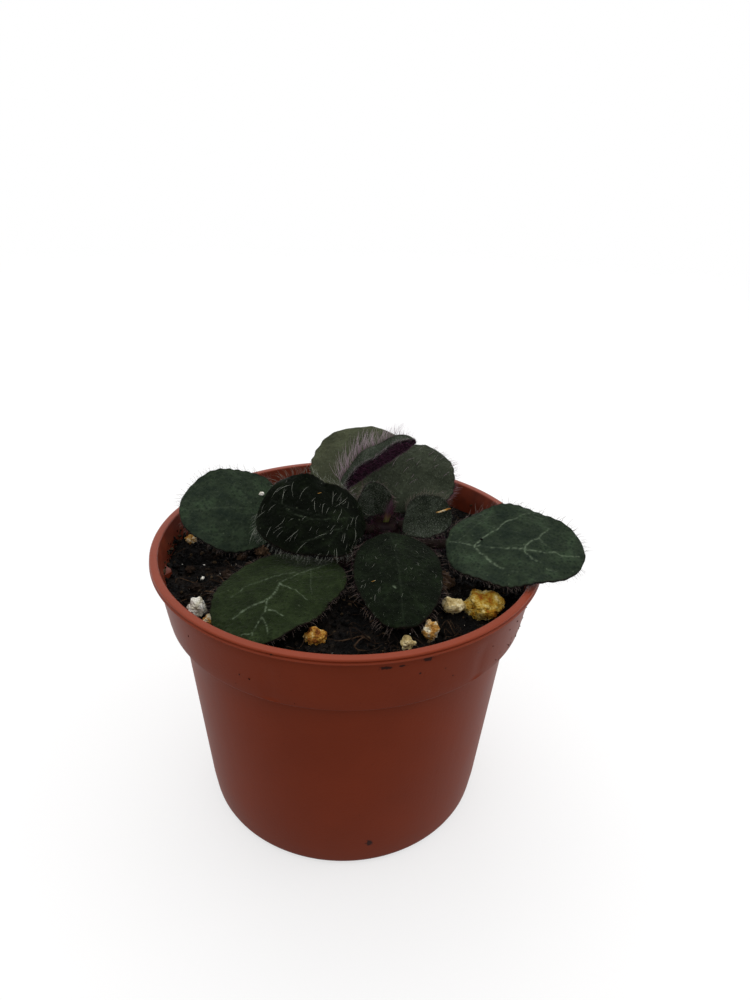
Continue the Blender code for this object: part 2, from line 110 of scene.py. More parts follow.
# Leaves: the midrib and pose of each are those of its CAD node. Some blades start, widen or fold a little
# differently. "veins" are a strength and a path, in shares of the blade's length and of its half width.
# "fuzz", "long", "below" and "stalk" are hairs for each square millimetre, their length and their kind.
# "fringe" is hairs for each millimetre of margin, their length on the leaf's left and right margins, and
# their kind. Towards the leaf's tip it shrinks to the share "tip". Hairs bow towards "bend". A grid is the
# rings along a blade and the columns across it.
PETIOLE_RADIUS = 1.15
FULL_PETIOLE_WIDTH = 12.0
SMALL_LEAF_WIDTH = 15.0
FINE_GRID = (180, 99)
LARGE_GRID = (104, 69)
SMALL_GRID = (64, 37)
MARGIN_WAVES = 2.25
MARGIN_SHIFT = 2.1
MIDRIB_THICKNESS = 1.1
MARGIN_THICKNESS = 0.55
LEAVES = {
    "leaf_left": dict(
        crown="crown_back", height=66.8,
        midrib=[(-12.5, 9.6, 68.4), (-20.0, 7.8, 70.8), (-31.0, 4.0, 73.0), (-39.6, 1.6, 73.0)],
        blade=0.14, width=22.0, across=(-0.15, -0.84, -0.52), fold=0.06, cup=-0.10, wave=0.5, widest=1.15,
        round=0.5, veins=spread_veins(0.16, (0.18, 0.38, 0.58, 0.76)), tone="grown", bend=(-0.4, -0.5, -0.6),
        fuzz=(1.8, 0.5, "faint"), fringe=(2.8, 1.5, 2.0, "dusky"), stalk=(2.4, 1.2, "magenta")),
    "leaf_centre_left": dict(
        crown="crown_front", height=69.8,
        midrib=[(2.6, 1.0, 72.4), (-5.0, -3.6, 75.6), (-12.5, -3.2, 77.4), (-19.2, 0.2, 78.2)],
        blade=0.09, width=19.5, across=(0.1, -0.80, -0.60), fold=0.05, cup=-0.12, wave=0.7, widest=1.25,
        round=0.28,
        veins=[(0.22, [(0.15, 0.0), (0.4, 0.04), (0.56, 0.16), (0.72, 0.12), (0.8, 0.0)]),
               (0.18, [(0.31, 0.3), (0.4, 0.34), (0.46, 0.55), (0.56, 0.73)])]
        + spread_veins(0.06, (0.2, 0.5)),
        tone="dark", bend=(-0.3, -0.8, -0.6), fuzz=(1.6, 0.4, "dark"), long=(0.17, 3.6, "silver"),
        fringe=(3.6, 1.9, 2.8, "silver"), stalk=(2.4, 1.4, "magenta")),
    "leaf_front_left": dict(
        crown="crown_front", height=66.8,
        midrib=[(2.0, -4.5, 66.2), (-4.8, -11.2, 67.0), (-13.2, -19.0, 67.2), (-16.6, -27.5, 66.6),
                (-18.4, -36.6, 64.8)],
        blade=0.29, width=24.6, across=(0.86, -0.50, 0.0), fold=0.0, cup=-0.06, wave=0.4, widest=0.95,
        round=0.45, fine=True,
        veins=[(0.9, [(0.44, -0.02), (0.5, 0.02), (0.56, 0.06), (0.65, 0.05), (0.73, 0.15), (0.83, 0.15),
                      (0.93, 0.18)]),
               (0.5, [(0.05, 0.0), (0.2, -0.03), (0.34, -0.02), (0.44, -0.02)]),
               (0.45, [(0.3, -0.12), (0.42, -0.28), (0.49, -0.36), (0.55, -0.52), (0.62, -0.56),
                      (0.66, -0.64)]),
               (1.0, [(0.62, 0.04), (0.66, -0.04), (0.7, -0.14), (0.75, -0.28), (0.79, -0.35),
                      (0.82, -0.46)]),
               (0.9, [(0.73, 0.15), (0.71, 0.24), (0.71, 0.32), (0.73, 0.5)]),
               (0.6, [(0.79, 0.18), (0.83, 0.32), (0.88, 0.48), (0.91, 0.6)]),
               (0.6, [(0.91, 0.16), (0.93, 0.0), (0.94, -0.16)]),
               (0.8, [(0.45, -0.02), (0.45, 0.2), (0.44, 0.3), (0.47, 0.5), (0.5, 0.62)]),
               (0.3, [(0.2, -0.02), (0.27, 0.3), (0.36, 0.6)])],
        tone="warm", bend=(-0.5, -0.3, -0.6), fuzz=(2.6, 0.4, "dark"), fringe=(2.8, 1.6, 1.6, "dusky"),
        stalk=(2.4, 1.2, "magenta")),
    "leaf_front": dict(
        crown="crown_front", height=69.2,
        midrib=[(9.4, -2.4, 71.0), (10.8, -11.0, 71.8), (12.0, -21.0, 69.4), (12.6, -30.5, 65.4)],
        blade=0.08, width=19.0, across=(1.0, 0.05, 0.05), fold=-0.05, cup=-0.16, wave=0.3, widest=0.95,
        round=0.5, veins=[(0.9, [(0.67, -0.17), (0.69, -0.13)])] + spread_veins(0.1, (0.2, 0.42, 0.64)),
        tone="deep_painted_shade", bend=(-0.1, -0.8, -0.6), fuzz=(2.6, 0.5, "faint"), long=(0.1, 1.7, "silver"),
        fringe=(2.2, 2.3, 2.3, "dusky"), stalk=(2.4, 1.3, "magenta")),
    "leaf_right": dict(
        crown="crown_front", height=67.0,
        midrib=[(18.0, -3.0, 69.2), (26.0, -6.3, 71.8), (39.0, -9.4, 73.4), (52.2, -12.2, 72.4)],
        blade=0.31, width=23.5, across=(0.1, 0.93, 0.32), fold=0.06, cup=-0.05, wave=0.6, widest=0.9,
        round=0.5, fine=True,
        veins=[(0.7, [(0.03, 0.0), (0.1, -0.05), (0.2, -0.1)]),
               (1.0, [(0.16, -0.1), (0.21, -0.12), (0.25, -0.12)]),
               (0.35, [(0.25, -0.12), (0.35, -0.16), (0.43, -0.14)]),
               (0.9, [(0.43, -0.14), (0.5, -0.14), (0.57, -0.12), (0.63, -0.13)]),
               (0.8, [(0.63, -0.13), (0.7, -0.14), (0.77, -0.08), (0.84, -0.15), (0.91, -0.12),
                      (0.96, -0.06)]),
               (1.0, [(0.22, -0.1), (0.25, 0.02), (0.28, 0.14), (0.32, 0.24), (0.37, 0.33), (0.39, 0.46),
                      (0.43, 0.56), (0.49, 0.63)]),
               (0.45, [(0.49, 0.63), (0.53, 0.78), (0.58, 0.88)]),
               (1.0, [(0.22, -0.14), (0.25, -0.26), (0.29, -0.36), (0.35, -0.52), (0.39, -0.57),
                      (0.44, -0.6)]),
               (1.0, [(0.57, -0.12), (0.58, 0.0), (0.61, 0.12), (0.66, 0.22), (0.67, 0.34), (0.7, 0.48)]),
               (0.6, [(0.66, 0.22), (0.68, 0.17), (0.7, 0.1)]), (0.35, [(0.7, 0.48), (0.72, 0.62)]),
               (0.9, [(0.57, -0.14), (0.6, -0.26), (0.63, -0.36), (0.69, -0.43)]),
               (0.4, [(0.5, -0.68), (0.54, -0.7)]), (0.35, [(0.74, -0.6), (0.79, -0.7), (0.82, -0.66)]),
               (0.2, [(0.1, 0.1), (0.2, 0.5), (0.3, 0.75)]),
               (0.15, [(0.1, -0.1), (0.2, -0.5), (0.28, -0.7)])],
        tone="grown", bend=(0.5, 0.2, -0.3), fuzz=(2.4, 0.4, "dark"), fringe=(3.0, 2.3, 1.5, "dusky"),
        stalk=(2.4, 1.2, "magenta")),
    "leaf_back": dict(
        crown="crown_front", height=66.8,
        midrib=[(6.5, 15.0, 69.5), (4.5, 23.0, 74.5), (4.0, 30.0, 79.0), (4.5, 37.0, 82.2)],
        blade=0.22, width=30.5, across=(-1.0, 0.0, 0.0), fold=0.06, cup=-0.10, wave=0.5, widest=0.95,
        round=0.5, veins=spread_veins(0.35, (0.15, 0.35, 0.55, 0.75)), tone="sheen_painted", bend=(0.3, 0.0, 0.3),
        fuzz=(1.4, 0.5, "pale"), fringe=(3.6, 0.7, 0.9, "white"), stalk=(2.4, 1.2, "magenta")),
    "leaf_back_right": dict(
        crown="crown_front", height=69.6,
        midrib=[(11.5, 10.5, 73.0), (14.0, 15.5, 76.5), (16.4, 20.5, 79.8), (18.6, 25.8, 81.8)],
        blade=0.12, width=23.0, across=(-0.95, 0.28, 0.0), fold=0.08, cup=-0.10, wave=0.5, widest=0.82,
        round=0.48, veins=spread_veins(0.15, (0.2, 0.45, 0.7)), tone="sheen_painted_faint", bend=(0.6, 0.0, 0.3),
        fuzz=(2.2, 0.7, "pale"), long=(0.05, 2.4, "lilac"), fringe=(5.5, 1.0, 1.9, "rosy"),
        stalk=(2.4, 1.6, "magenta")),
    "leaf_folded": dict(
        crown="crown_back", height=67.4,
        midrib=[(-1.6, 12.6, 74.4), (2.6, 13.6, 78.0), (9.2, 16.4, 81.8), (15.7, 20.0, 85.4)],
        blade=0.30, width=5.4, across=(-0.3, 0.93, -0.07), fold=1.5, cup=0.0, wave=0.3, widest=1.0,
        round=0.4, veins=spread_veins(0.1, (0.3, 0.6)), tone="felted_painted_light", bend=(0.9, 0.0, 0.1),
        fuzz=(9.0, 0.6, "downy"), fringe=(9.0, 4.8, 1.5, "lilac"), tip=0.55, stalk=(5.0, 3.6, "lilac"),
        below=(9.0, 0.8, "plum")),
    "leaf_small_left": dict(
        crown="crown_front", height=70.0,
        midrib=[(5.8, 8.9, 72.0), (5.4, 8.7, 76.0), (4.9, 8.6, 79.2)],
        blade=0.06, width=8.6, across=(-0.95, -0.25, 0.2), fold=0.35, cup=0.10, wave=0.2, widest=1.0,
        round=0.5, veins=spread_veins(0.1, (0.3, 0.6)), tone="young", bend=(-0.5, -0.2, -0.5),
        fuzz=(10.0, 0.6, "downy"), fringe=(6.0, 1.8, 1.8, "dusky"), stalk=(4.0, 1.3, "magenta"),
        below=(6.0, 0.8, "pale")),
    "leaf_small_right": dict(
        crown="crown_front", height=70.6,
        midrib=[(16.2, 3.1, 71.6), (19.6, 2.9, 72.6), (24.2, 2.2, 73.2)],
        blade=0.03, width=11.0, across=(0.1, 0.78, 0.60), fold=0.35, cup=0.05, wave=0.3, widest=1.05,
        round=0.42, veins=spread_veins(0.1, (0.25, 0.5, 0.75)), tone="young", bend=(0.5, 0.0, -0.4),
        fuzz=(10.0, 0.55, "downy"), fringe=(6.0, 1.8, 1.4, "dusky"), stalk=(4.0, 1.3, "magenta")),
}
YOUNG_LEAVES = ("leaf_folded", "leaf_small_left", "leaf_small_right")

# Leaf colours: dark, middle and light green, and how strong the haze of down is. Some tones are lit and
# shaded copies of the same green, with painted light and shade, as said above each
LEAF_TONES = {
    "grown": ("#1d271f", "#2a3427", "#374633", 0.04),
    "warm": ("#171f0f", "#202a15", "#2c371f", 0.02),
    # The next two tones are darker copies of the green: painted shade on the front leaves, whose blades face
    # forward rather than up to the light
    "deep_painted_shade": ("#0a0f08", "#11180d", "#1b2515", 0.01),
    "dark": ("#050803", "#090e06", "#151d0e", 0.0),
    "young": ("#171c15", "#2a3026", "#454b42", 0.08),
    # A lighter copy of the young leaves' green: painted light on the steep folded leaf, which gets less light
    # from above
    "felted_painted_light": ("#2a3127", "#3d4439", "#545b4f", 0.1),
    # The next two tones are lighter, greyer copies of the green: painted sheen on the back leaves, which are
    # seen at a grazing angle
    "sheen_painted_faint": ("#282d22", "#33382c", "#3f4536", 0.06),
    "sheen_painted": ("#363a2b", "#414433", "#4e523d", 0.04),
}

# Hairs: the colours at the root and at the tip
HAIRS = {
    "white": ("#85877a", "#c4c5ba"),
    "silver": ("#42453c", "#a1a498"),
    "downy": ("#2f352d", "#979c90"),
    "pale": ("#3a4233", "#7d8474"),
    "faint": ("#1d2319", "#545c4d"),
    "dark": ("#120d0b", "#3c3d36"),
    "dusky": ("#331820", "#76675f"),
    "lilac": ("#7d5a70", "#c0a9b6"),
    "magenta": ("#2f0b1e", "#5a2b42"),
    "plum": ("#3a0e2a", "#6e3458"),
    "rosy": ("#5a2340", "#a07f86"),
}
# Strands 1 millimetre long, to copy: each is for hairs shorter than its first number. Then its steps,
# radius and curl.
STRANDS = {
    "short_hair": (1.0, 2, 0.034, 0.2),
    "middle_hair": (2.5, 4, 0.016, 0.4),
    "long_hair": (math.inf, 6, 0.0105, 0.6),
}
STRAND_SIDES = 3
LONG_HAIR_LEAN = 1.3       # how much more a long hair leans along its bend than it stands

# Perlite grains, as in the CAD model. Those that aren't cream or white are stained.
GRAINS = {
    "grain_gold_large": dict(at=(30.2, -18.4), size=8.4, tall=0.72, look="ochre"),
    "grain_cream": dict(at=(23.3, -20.4), size=4.4, tall=0.9, look="cream"),
    "grain_gold_tall": dict(at=(18.2, -28.4), size=3.2, tall=1.6, look="amber"),
    "grain_pale": dict(at=(13.6, -31.6), size=2.9, tall=0.9, look="cream"),
    "grain_gold_front": dict(at=(-4.9, -31.6), size=4.2, tall=0.9, look="rust"),
    "grain_white_left": dict(at=(-30.6, -22.4), size=4.0, tall=1.1, look="white"),
    "grain_gold_left": dict(at=(-27.4, -26.4), size=2.6, tall=0.8, look="amber"),
    "grain_tan_left": dict(at=(-38.6, 6.3), size=2.6, tall=0.8, look="amber"),
}
GRAIN_SUNK = 0.3
PERLITE_LOOKS = {
    "ochre": [(0.35, "#8a4712"), (0.43, "#a0701a"), (0.5, "#ae8c34"), (0.58, "#c4ac62"), (0.7, "#e2d5a8")],
    "cream": [(0.36, "#957d4a"), (0.5, "#c0ab77"), (0.64, "#dfd3ab")],
    "rust": [(0.34, "#3a2410"), (0.45, "#80491a"), (0.54, "#a87a2c"), (0.64, "#cfbb85")],
    "amber": [(0.36, "#8f5218"), (0.5, "#c4954a"), (0.58, "#e2d8ba")],
    "white": [(0.34, "#aea68f"), (0.46, "#dad5c5"), (0.6, "#f0ede5")],
}

# Small things on the leaves: name, leaf, place on the blade, size and kind
LEAF_BITS = [
    ("perlite_on_left", "leaf_left", 0.30, -0.43, 0.65, "perlite"),
    ("fibre_on_small_right", "leaf_small_right", 0.84, 0.3, 3.4, "dry fibre"),
    ("speck_on_right", "leaf_right", 0.26, 0.04, 0.3, "bark"),
    ("fibre_on_centre_left", "leaf_centre_left", 0.52, -0.58, 0.9, "dry fibre"),
    ("fibre_on_front", "leaf_front", 0.6, -0.6, 0.9, "dry fibre"),
]
# Clods of bark and matted peat that stand out on the soil: place, size, height over width, and how brown
CLODS = [
    ((22.7, -10.6), 4.0, 0.8, 0.9), ((22.3, -5.6), 2.6, 0.7, 1.2), ((-20.3, 0.2), 3.4, 0.8, 1.0),
    ((-24.5, -2.5), 2.2, 0.8, 0.7), ((-1.4, -2.2), 3.6, 0.7, 0.9), ((-33.0, -14.0), 2.6, 0.5, 0.4),
    ((-27.0, -9.0), 3.0, 0.5, 0.5), ((-22.0, -6.0), 2.4, 0.6, 0.6), ((-36.0, -6.0), 2.4, 0.5, 0.5),
]
# Larger specks of perlite on the left of the soil, with their radius, and places where fibres are matted
SPECKS = [((-32.4, -9.9), 0.62), ((-34.3, -14.1), 0.42), ((-33.2, -4.2), 0.3), ((-31.0, -17.2), 0.3)]
FIBRE_MATS = [(6.0, -32.0), (23.2, -29.0), (-25.0, -10.0), (-30.0, -16.0), (12.0, -35.5)]
CRUMB_COUNT = 5000
SPECK_COUNT = 120
FIBRE_COUNT = 300
WALL_CRUMB_COUNT = 230
COLLAR_SPECK_COUNT = 60
LITTER_SEED = 21
LEAF_BITS_SEED = 17
WALL_DIRT_SEED = 4
# Smears of peat on the outside of the pot: place, size across and size up
SMEARS = [
    ((17.0, -39.9, 65.6), 1.8, 0.8), ((9.0, -42.4, 65.2), 1.9, 0.7), ((12.3, -41.6, 65.2), 1.4, 0.4),
    ((15.7, -40.0, 62.2), 0.5, 0.5), ((20.7, -37.5, 61.7), 0.45, 0.45), ((7.4, -34.3, 7.9), 1.3, 1.6),
    ((-12.0, -43.4, 67.9), 0.8, 0.4),
]

# Camera, at the photograph's own viewpoint, in metres, and softboxes: place in metres, width in metres, watts
CAMERA_AT = (0.00604, -0.15313, 0.15513)
CAMERA_DOWN_DEG = 26.52
CAMERA_ROLL_DEG = 1.96
CAMERA_LENS = 27.0
CAMERA_SENSOR = 36.0
SOFTBOXES = {
    "top softbox": ((-0.1, 0.35, 0.8), 0.6, 1.2),
    "right softbox": ((0.8, 0.1, 0.35), 0.4, 0.7),
}
STAGE_RADIUS = 1200.0


def linear(colour):
    """A linear RGBA colour from an sRGB hex string such as "#8a3b28"."""
    parts = [int(colour[k:k + 2], 16) / 255 for k in (1, 3, 5)]
    return tuple(c / 12.92 if c <= 0.04045 else ((c + 0.055) / 1.055) ** 2.4 for c in parts) + (1.0,)


def set_inputs(node, inputs):
    """Fills a node's inputs, given by name or in order. Each is a value, a colour as a hex string, a socket
    to link, or a node, which stands for its first live output."""
    for name, value in inputs.items() if isinstance(inputs, dict) else enumerate(inputs):
        if isinstance(value, bpy.types.Node):
            value = next(output for output in value.outputs if output.enabled)
        if isinstance(value, bpy.types.NodeSocket):
            node.id_data.links.new(value, node.inputs[name])
        else:
            hexed = isinstance(value, str) and value.startswith("#")
            node.inputs[name].default_value = linear(value) if hexed else value


def add_node(tree, kind, inputs=(), stops=(), **settings):
    """A node with its settings, its inputs and, on a colour ramp, its stops. A shader node's kind is given
    without its "ShaderNode"."""
    other = kind.startswith(("Geometry", "Function", "NodeGroup"))
    made = tree.nodes.new(kind if other else "ShaderNode" + kind)
    for name, value in settings.items():
        setattr(made, name, value)
    while stops and len(made.color_ramp.elements) < len(stops):
        made.color_ramp.elements.new(0.5)
    for k, (position, colour) in enumerate(stops):
        made.color_ramp.elements[k].position = position
        made.color_ramp.elements[k].color = linear(colour)
    set_inputs(made, inputs)
    return made


def new_material(name, **values):
    """A material with a Principled shader. Returns it with a function that adds a node to it, its shader and
    the object coordinates."""
    made = bpy.data.materials.new(name)
    made.use_nodes = True
    node = partial(add_node, made.node_tree)
    shader = made.node_tree.nodes["Principled BSDF"]
    set_inputs(shader, {socket.replace("_", " "): value for socket, value in values.items()})
    return made, node, shader, node("TexCoord").outputs["Object"]


def smear_mask(node, place):
    """0 on clean plastic and up to 1 in a smear: near one of the listed places, with ragged edges."""
    ragged = node("TexNoise", {"Vector": place, "Scale": 1500.0, "Detail": 4.0})
    total = 0.0
    for (x, y, z), across, up in SMEARS:
        shift = node("VectorMath", (place, (x * MM, y * MM, z * MM)), operation="SUBTRACT")
        shrink = (1 / MM / across, 1 / MM / across, 1 / MM / up)
        shrunk = node("VectorMath", (shift, shrink), operation="MULTIPLY")
        far = node("VectorMath", (shrunk,), operation="LENGTH")
        near = node("Math", (1.0, far), operation="SUBTRACT", use_clamp=True)
        total = node("Math", (near, total), operation="MAXIMUM")
    eaten = node("Math", (ragged, 4.5, -3.1), operation="MULTIPLY_ADD")
    return node("Math", (total, 3.0, eaten), operation="MULTIPLY_ADD", use_clamp=True)


def dust_and_shade_mask(node, place):
    """How thick peat dusting and painted shade lie inside the collar, where the radius less the taper is
    smaller than outside.
    """
    axes = node("SeparateXYZ", (place,)).outputs
    flat = node("CombineXYZ", (axes["X"], axes["Y"]))
    reach = node("VectorMath", (flat,), operation="LENGTH")
    taper = (COLLAR_TOP_RADIUS - COLLAR_FOOT_RADIUS) / COLLAR_HEIGHT
    widening = node("Math", (axes["Z"], taper), operation="MULTIPLY")
    upright = node("Math", (reach, widening), operation="SUBTRACT")
    foot = COLLAR_FOOT_RADIUS - taper * STEP_HEIGHT
    inner = node("MapRange", (upright, (foot - 0.8) * MM, (foot - 0.4) * MM, 0.62, 0.0))
    above = node("Math", (axes["Z"], (STEP_HEIGHT + 1.0) * MM), operation="GREATER_THAN")
    collar_inside = node("Math", (inner, above), operation="MULTIPLY")
    patchy = node("TexNoise", {"Vector": place, "Scale": 240.0, "Detail": 5.0})
    patches = node("Math", (patchy, 2.0, -0.1), operation="MULTIPLY_ADD", use_clamp=True)
    return node("Math", (collar_inside, patches), operation="MULTIPLY")


def pot_material():
    """Polypropylene, injection moulded in terracotta red: a satin skin with the mould's own fine grain, faint
    clouding, flow lines down the wall, a few smears of peat, and peat dusting with painted shade inside
    the collar."""
    made, node, shader, place = new_material("moulded polypropylene", IOR=1.49, Specular_IOR_Level=0.2)
    clouds = node("TexNoise", {"Vector": place, "Scale": 60.0, "Detail": 4.0})
    plastic = node("ValToRGB", (clouds,), [(0.3, "#803218"), (0.7, "#88361b")])
    # The inside of the collar goes dark brown: a dusting of peat, and painted shade of that recess
    dusted_and_shaded = node("Mix", {0: dust_and_shade_mask(node, place), 6: plastic, 7: "#3c1710"}, data_type="RGBA")
    smeared = node("Mix", {0: smear_mask(node, place), 6: dusted_and_shaded, 7: "#38160e"}, data_type="RGBA")
    # The mould's grain is 0.05 mm, drawn at 0.6 mm so that it shows
    grain = node("TexNoise", {"Vector": place, "Scale": 1700.0, "Detail": 3.0})
    stretched = node("Mapping", {"Vector": place, "Scale": (1.0, 1.0, 0.08)})
    flow = node("TexNoise", {"Vector": stretched, "Scale": 200.0, "Detail": 2.0})
    relief = node("Math", (flow, 1.5, grain), operation="MULTIPLY_ADD")
    bump = node("Bump", {"Height": relief, "Strength": 0.22, "Distance": 0.00012})
    rough = node("MapRange", (clouds, 0.0, 1.0, 0.36, 0.48))
    set_inputs(shader, {"Base Color": smeared, "Normal": bump, "Roughness": rough})
    return made


def leaf_material(tone):
    """A living leaf under a down too fine to model: dark green and softly matte, with paler sunken veins and
    dark purple beneath. The blade's own attributes place the veins, the underside and the margin."""
    low, middle, high, down = LEAF_TONES[tone]
    made, node, shader, place = new_material("leaf blade " + tone, Roughness=0.6, IOR=1.4, Sheen_Weight=down,
                                             Sheen_Roughness=0.4, Sheen_Tint="#dcd8dc",
                                             Specular_IOR_Level=0.05)
    mottle = node("TexNoise", {"Vector": place, "Scale": 210.0, "Detail": 6.0, "Roughness": 0.65})
    colour = node("ValToRGB", (mottle,), [(0.32, low), (0.5, middle), (0.7, high)])
    purple = node("ValToRGB", (mottle,), [(0.35, "#12050e"), (0.7, "#24101d")])
    # Hairs stand on dark bases about 0.8 mm apart, and a few pale dots between them are painted glints of
    # the short hairs
    bases = node("TexVoronoi", {"Vector": place, "Scale": 1250.0})
    dots = node("MapRange", (bases, 0.15, 0.45, 0.85, 0.0))
    glint_cells = node("TexVoronoi", {"Vector": place, "Scale": 420.0})
    pale = node("MapRange", (glint_cells, 0.05, 0.1, 0.25, 0.0))
    vein, edge, under = (node("Attribute", attribute_name=key).outputs["Fac"]
                         for key in ("vein", "edge", "under"))
    for share, over in ((dots, low), (pale, "#6d775f"), (vein, "#75836c"), (edge, "#1c1512"),
                        (under, purple)):
        colour = node("Mix", {0: share, 6: colour, 7: over}, data_type="RGBA")
    net = node("TexVoronoi", {"Vector": place, "Scale": 620.0}, feature="DISTANCE_TO_EDGE")
    relief = node("Math", (bases, -0.5, net), operation="MULTIPLY_ADD")
    bump = node("Bump", {"Height": relief, "Strength": 1.0, "Distance": 0.0003})
    set_inputs(shader, {"Base Color": colour, "Normal": bump})
    return made


def hair_material(kind):
    """Plant hair: a clear glassy cell, coloured at its root where it is filled with sap."""
    root, tip = HAIRS[kind]
    made, node, shader, _ = new_material(kind + " hair", Roughness=0.4, IOR=1.4)
    along = node("Attribute", attribute_name="along").outputs["Fac"]
    set_inputs(shader, {"Base Color": node("ValToRGB", (along,), [(0.0, root), (0.4, tip)])})
    return made


def stem_material():
    """A short fleshy stem: reddish purple under its hairs, green where it is youngest."""
    made, node, shader, place = new_material("fleshy stem", Roughness=0.5, IOR=1.4, Specular_IOR_Level=0.1)
    mottle = node("TexNoise", {"Vector": place, "Scale": 500.0, "Detail": 4.0})
    colour = node("ValToRGB", (mottle,), [(0.3, "#0e0609"), (0.55, "#190c0c"), (0.75, "#1e1a0d")])
    bump = node("Bump", {"Height": mottle, "Strength": 0.5, "Distance": 0.0003})
    set_inputs(shader, {"Base Color": colour, "Normal": bump})
    return made


def bud_material():
    """Leaves still closed: yellow green at the foot, and magenta above where they are full of sap."""
    made, node, shader, place = new_material("closed leaves", Roughness=0.5, IOR=1.4)
    foot = CROWNS["crown_front"]["top"]
    height = node("SeparateXYZ", (place,)).outputs["Z"]
    share = node("MapRange", (height, (foot + 0.2) * MM, (foot + 4.2) * MM))
    set_inputs(shader, {"Base Color": node("ValToRGB", (share,), [(0.0, "#4c5220"), (0.3, "#4a3620"),
                                                                  (0.6, "#2c0f1e")])})
    return made


def peat_material(name, damp, stops):
    """Moist peat: nearly black, matte with damp glints. Each crumb's own "shade" says how brown it is, and
    the two roughnesses are those of its wet and dry places."""
    made, node, shader, place = new_material(name, IOR=1.4, Specular_IOR_Level=0.16)
    clumps = node("TexNoise", {"Vector": place, "Scale": 900.0, "Detail": 6.0, "Roughness": 0.7})
    shade = node("Attribute", attribute_name="shade").outputs["Fac"]
    own = node("Math", (shade, 0.6), operation="MULTIPLY")
    browner = node("Math", (clumps, 0.7, own), operation="MULTIPLY_ADD")
    fine = node("TexNoise", {"Vector": place, "Scale": 1600.0, "Detail": 6.0})
    set_inputs(shader, {"Base Color": node("ValToRGB", (browner,), stops),
                        "Roughness": node("MapRange", (clumps, 0.35, 0.65, *damp)),
                        "Normal": node("Bump", {"Height": fine, "Strength": 1.0, "Distance": 0.0009})})
    return made


def perlite_material(name, stops):
    """Expanded volcanic glass: a chalky foam with small pits, stained where iron-rich water dried on it."""
    made, node, shader, place = new_material(name, Roughness=0.8, IOR=1.5, Specular_IOR_Level=0.12)
    stain = node("TexNoise", {"Vector": place, "Scale": 520.0, "Detail": 5.0, "Roughness": 0.65})
    pits = node("TexVoronoi", {"Vector": place, "Scale": 2200.0})
    bump = node("Bump", {"Height": pits, "Strength": 0.8, "Distance": 0.0004})
    set_inputs(shader, {"Base Color": node("ValToRGB", (stain,), stops), "Normal": bump})
    return made


def add_piece(name, points, faces, material=None, **attributes):
    """A piece from points in millimetres and faces, with float or vector attributes of its points."""
    mesh = bpy.data.meshes.new(name)
    mesh.from_pydata((np.asarray(points, dtype=float) * MM).tolist(), [], faces)
    for key, values in attributes.items():
        values = np.asarray(values, dtype=np.float32)
        kind, field = ("FLOAT_VECTOR", "vector") if values.ndim == 2 else ("FLOAT", "value")
        mesh.attributes.new(key, kind, "POINT").data.foreach_set(field, values.ravel())
    mesh.shade_smooth()
    if material:
        mesh.materials.append(material)
    made = bpy.data.objects.new(name, mesh)
    bpy.context.collection.objects.link(made)
    return made


def finish_piece(piece, slot, *nodes):
    """Lets the piece ride on the one body and hides the CAD nodes it stands for. Its slot is not used."""
    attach(piece, BODY)
    if nodes:
        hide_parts(*nodes)


def apply_modifiers(piece):
    """Bakes the piece's modifiers into its mesh."""
    bpy.context.view_layer.update()
    result = bpy.data.meshes.new_from_object(piece.evaluated_get(bpy.context.evaluated_depsgraph_get()))
    piece.modifiers.clear()
    piece.data = result


def around(radius, turn, height):
    """The point at a radius, a turn about the pot's axis and a height."""
    return radius * math.cos(turn), radius * math.sin(turn), height


def revolve(profile, sides, change=lambda radius, height, turn: radius):
    """Points and faces of a closed solid turned about Z. The profile's first and last points lie on the axis,
    and change may move a point in or out."""
    ring = profile[1:-1]
    points = [around(change(radius, height, turn), turn, height)
              for turn in (math.tau * k / sides for k in range(sides)) for radius, height in ring]
    first, last = len(points), len(points) + 1
    points += [(0.0, 0.0, profile[0][1]), (0.0, 0.0, profile[-1][1])]
    rows = len(ring)
    faces = []
    for c in range(sides):
        here, there = c * rows, (c + 1) % sides * rows
        faces.append((first, there, here))
        faces.append((last, here + rows - 1, there + rows - 1))
        faces += [(here + r, there + r, there + r + 1, here + r + 1) for r in range(rows - 1)]
    return points, faces


def closed_skin(rings, sides):
    """Faces over rings of points, closed at the first ring and drawn together in one last point."""
    faces = [(k + i, k + (i + 1) % sides, k + sides + (i + 1) % sides, k + sides + i)
             for k in range(0, (rings - 1) * sides, sides) for i in range(sides)]
    faces.append(tuple(range(sides))[::-1])
    end = (rings - 1) * sides
    return faces + [(end + i, end + (i + 1) % sides, end + sides) for i in range(sides)]


def arc(centre, radius, start_deg, end_deg, steps):
    """Points along an arc of the profile, ends included."""
    turns = [math.radians(start_deg + (end_deg - start_deg) * k / steps) for k in range(steps + 1)]
    return [(centre[0] + radius * math.cos(t), centre[1] + radius * math.sin(t)) for t in turns]


def collar_radius(height):
    """The outer radius of the collar at a height."""
    share = (height - STEP_HEIGHT) / COLLAR_HEIGHT
    return COLLAR_FOOT_RADIUS + (COLLAR_TOP_RADIUS - COLLAR_FOOT_RADIUS) * share


def inner_radius(height):
    """The radius of the pot's inside at a height, without the ribs."""
    if height > STEP_HEIGHT + WALL:
        return collar_radius(height) - WALL
    return FOOT_RADIUS + (WALL_TOP_RADIUS - FOOT_RADIUS) * (height / STEP_HEIGHT) - WALL


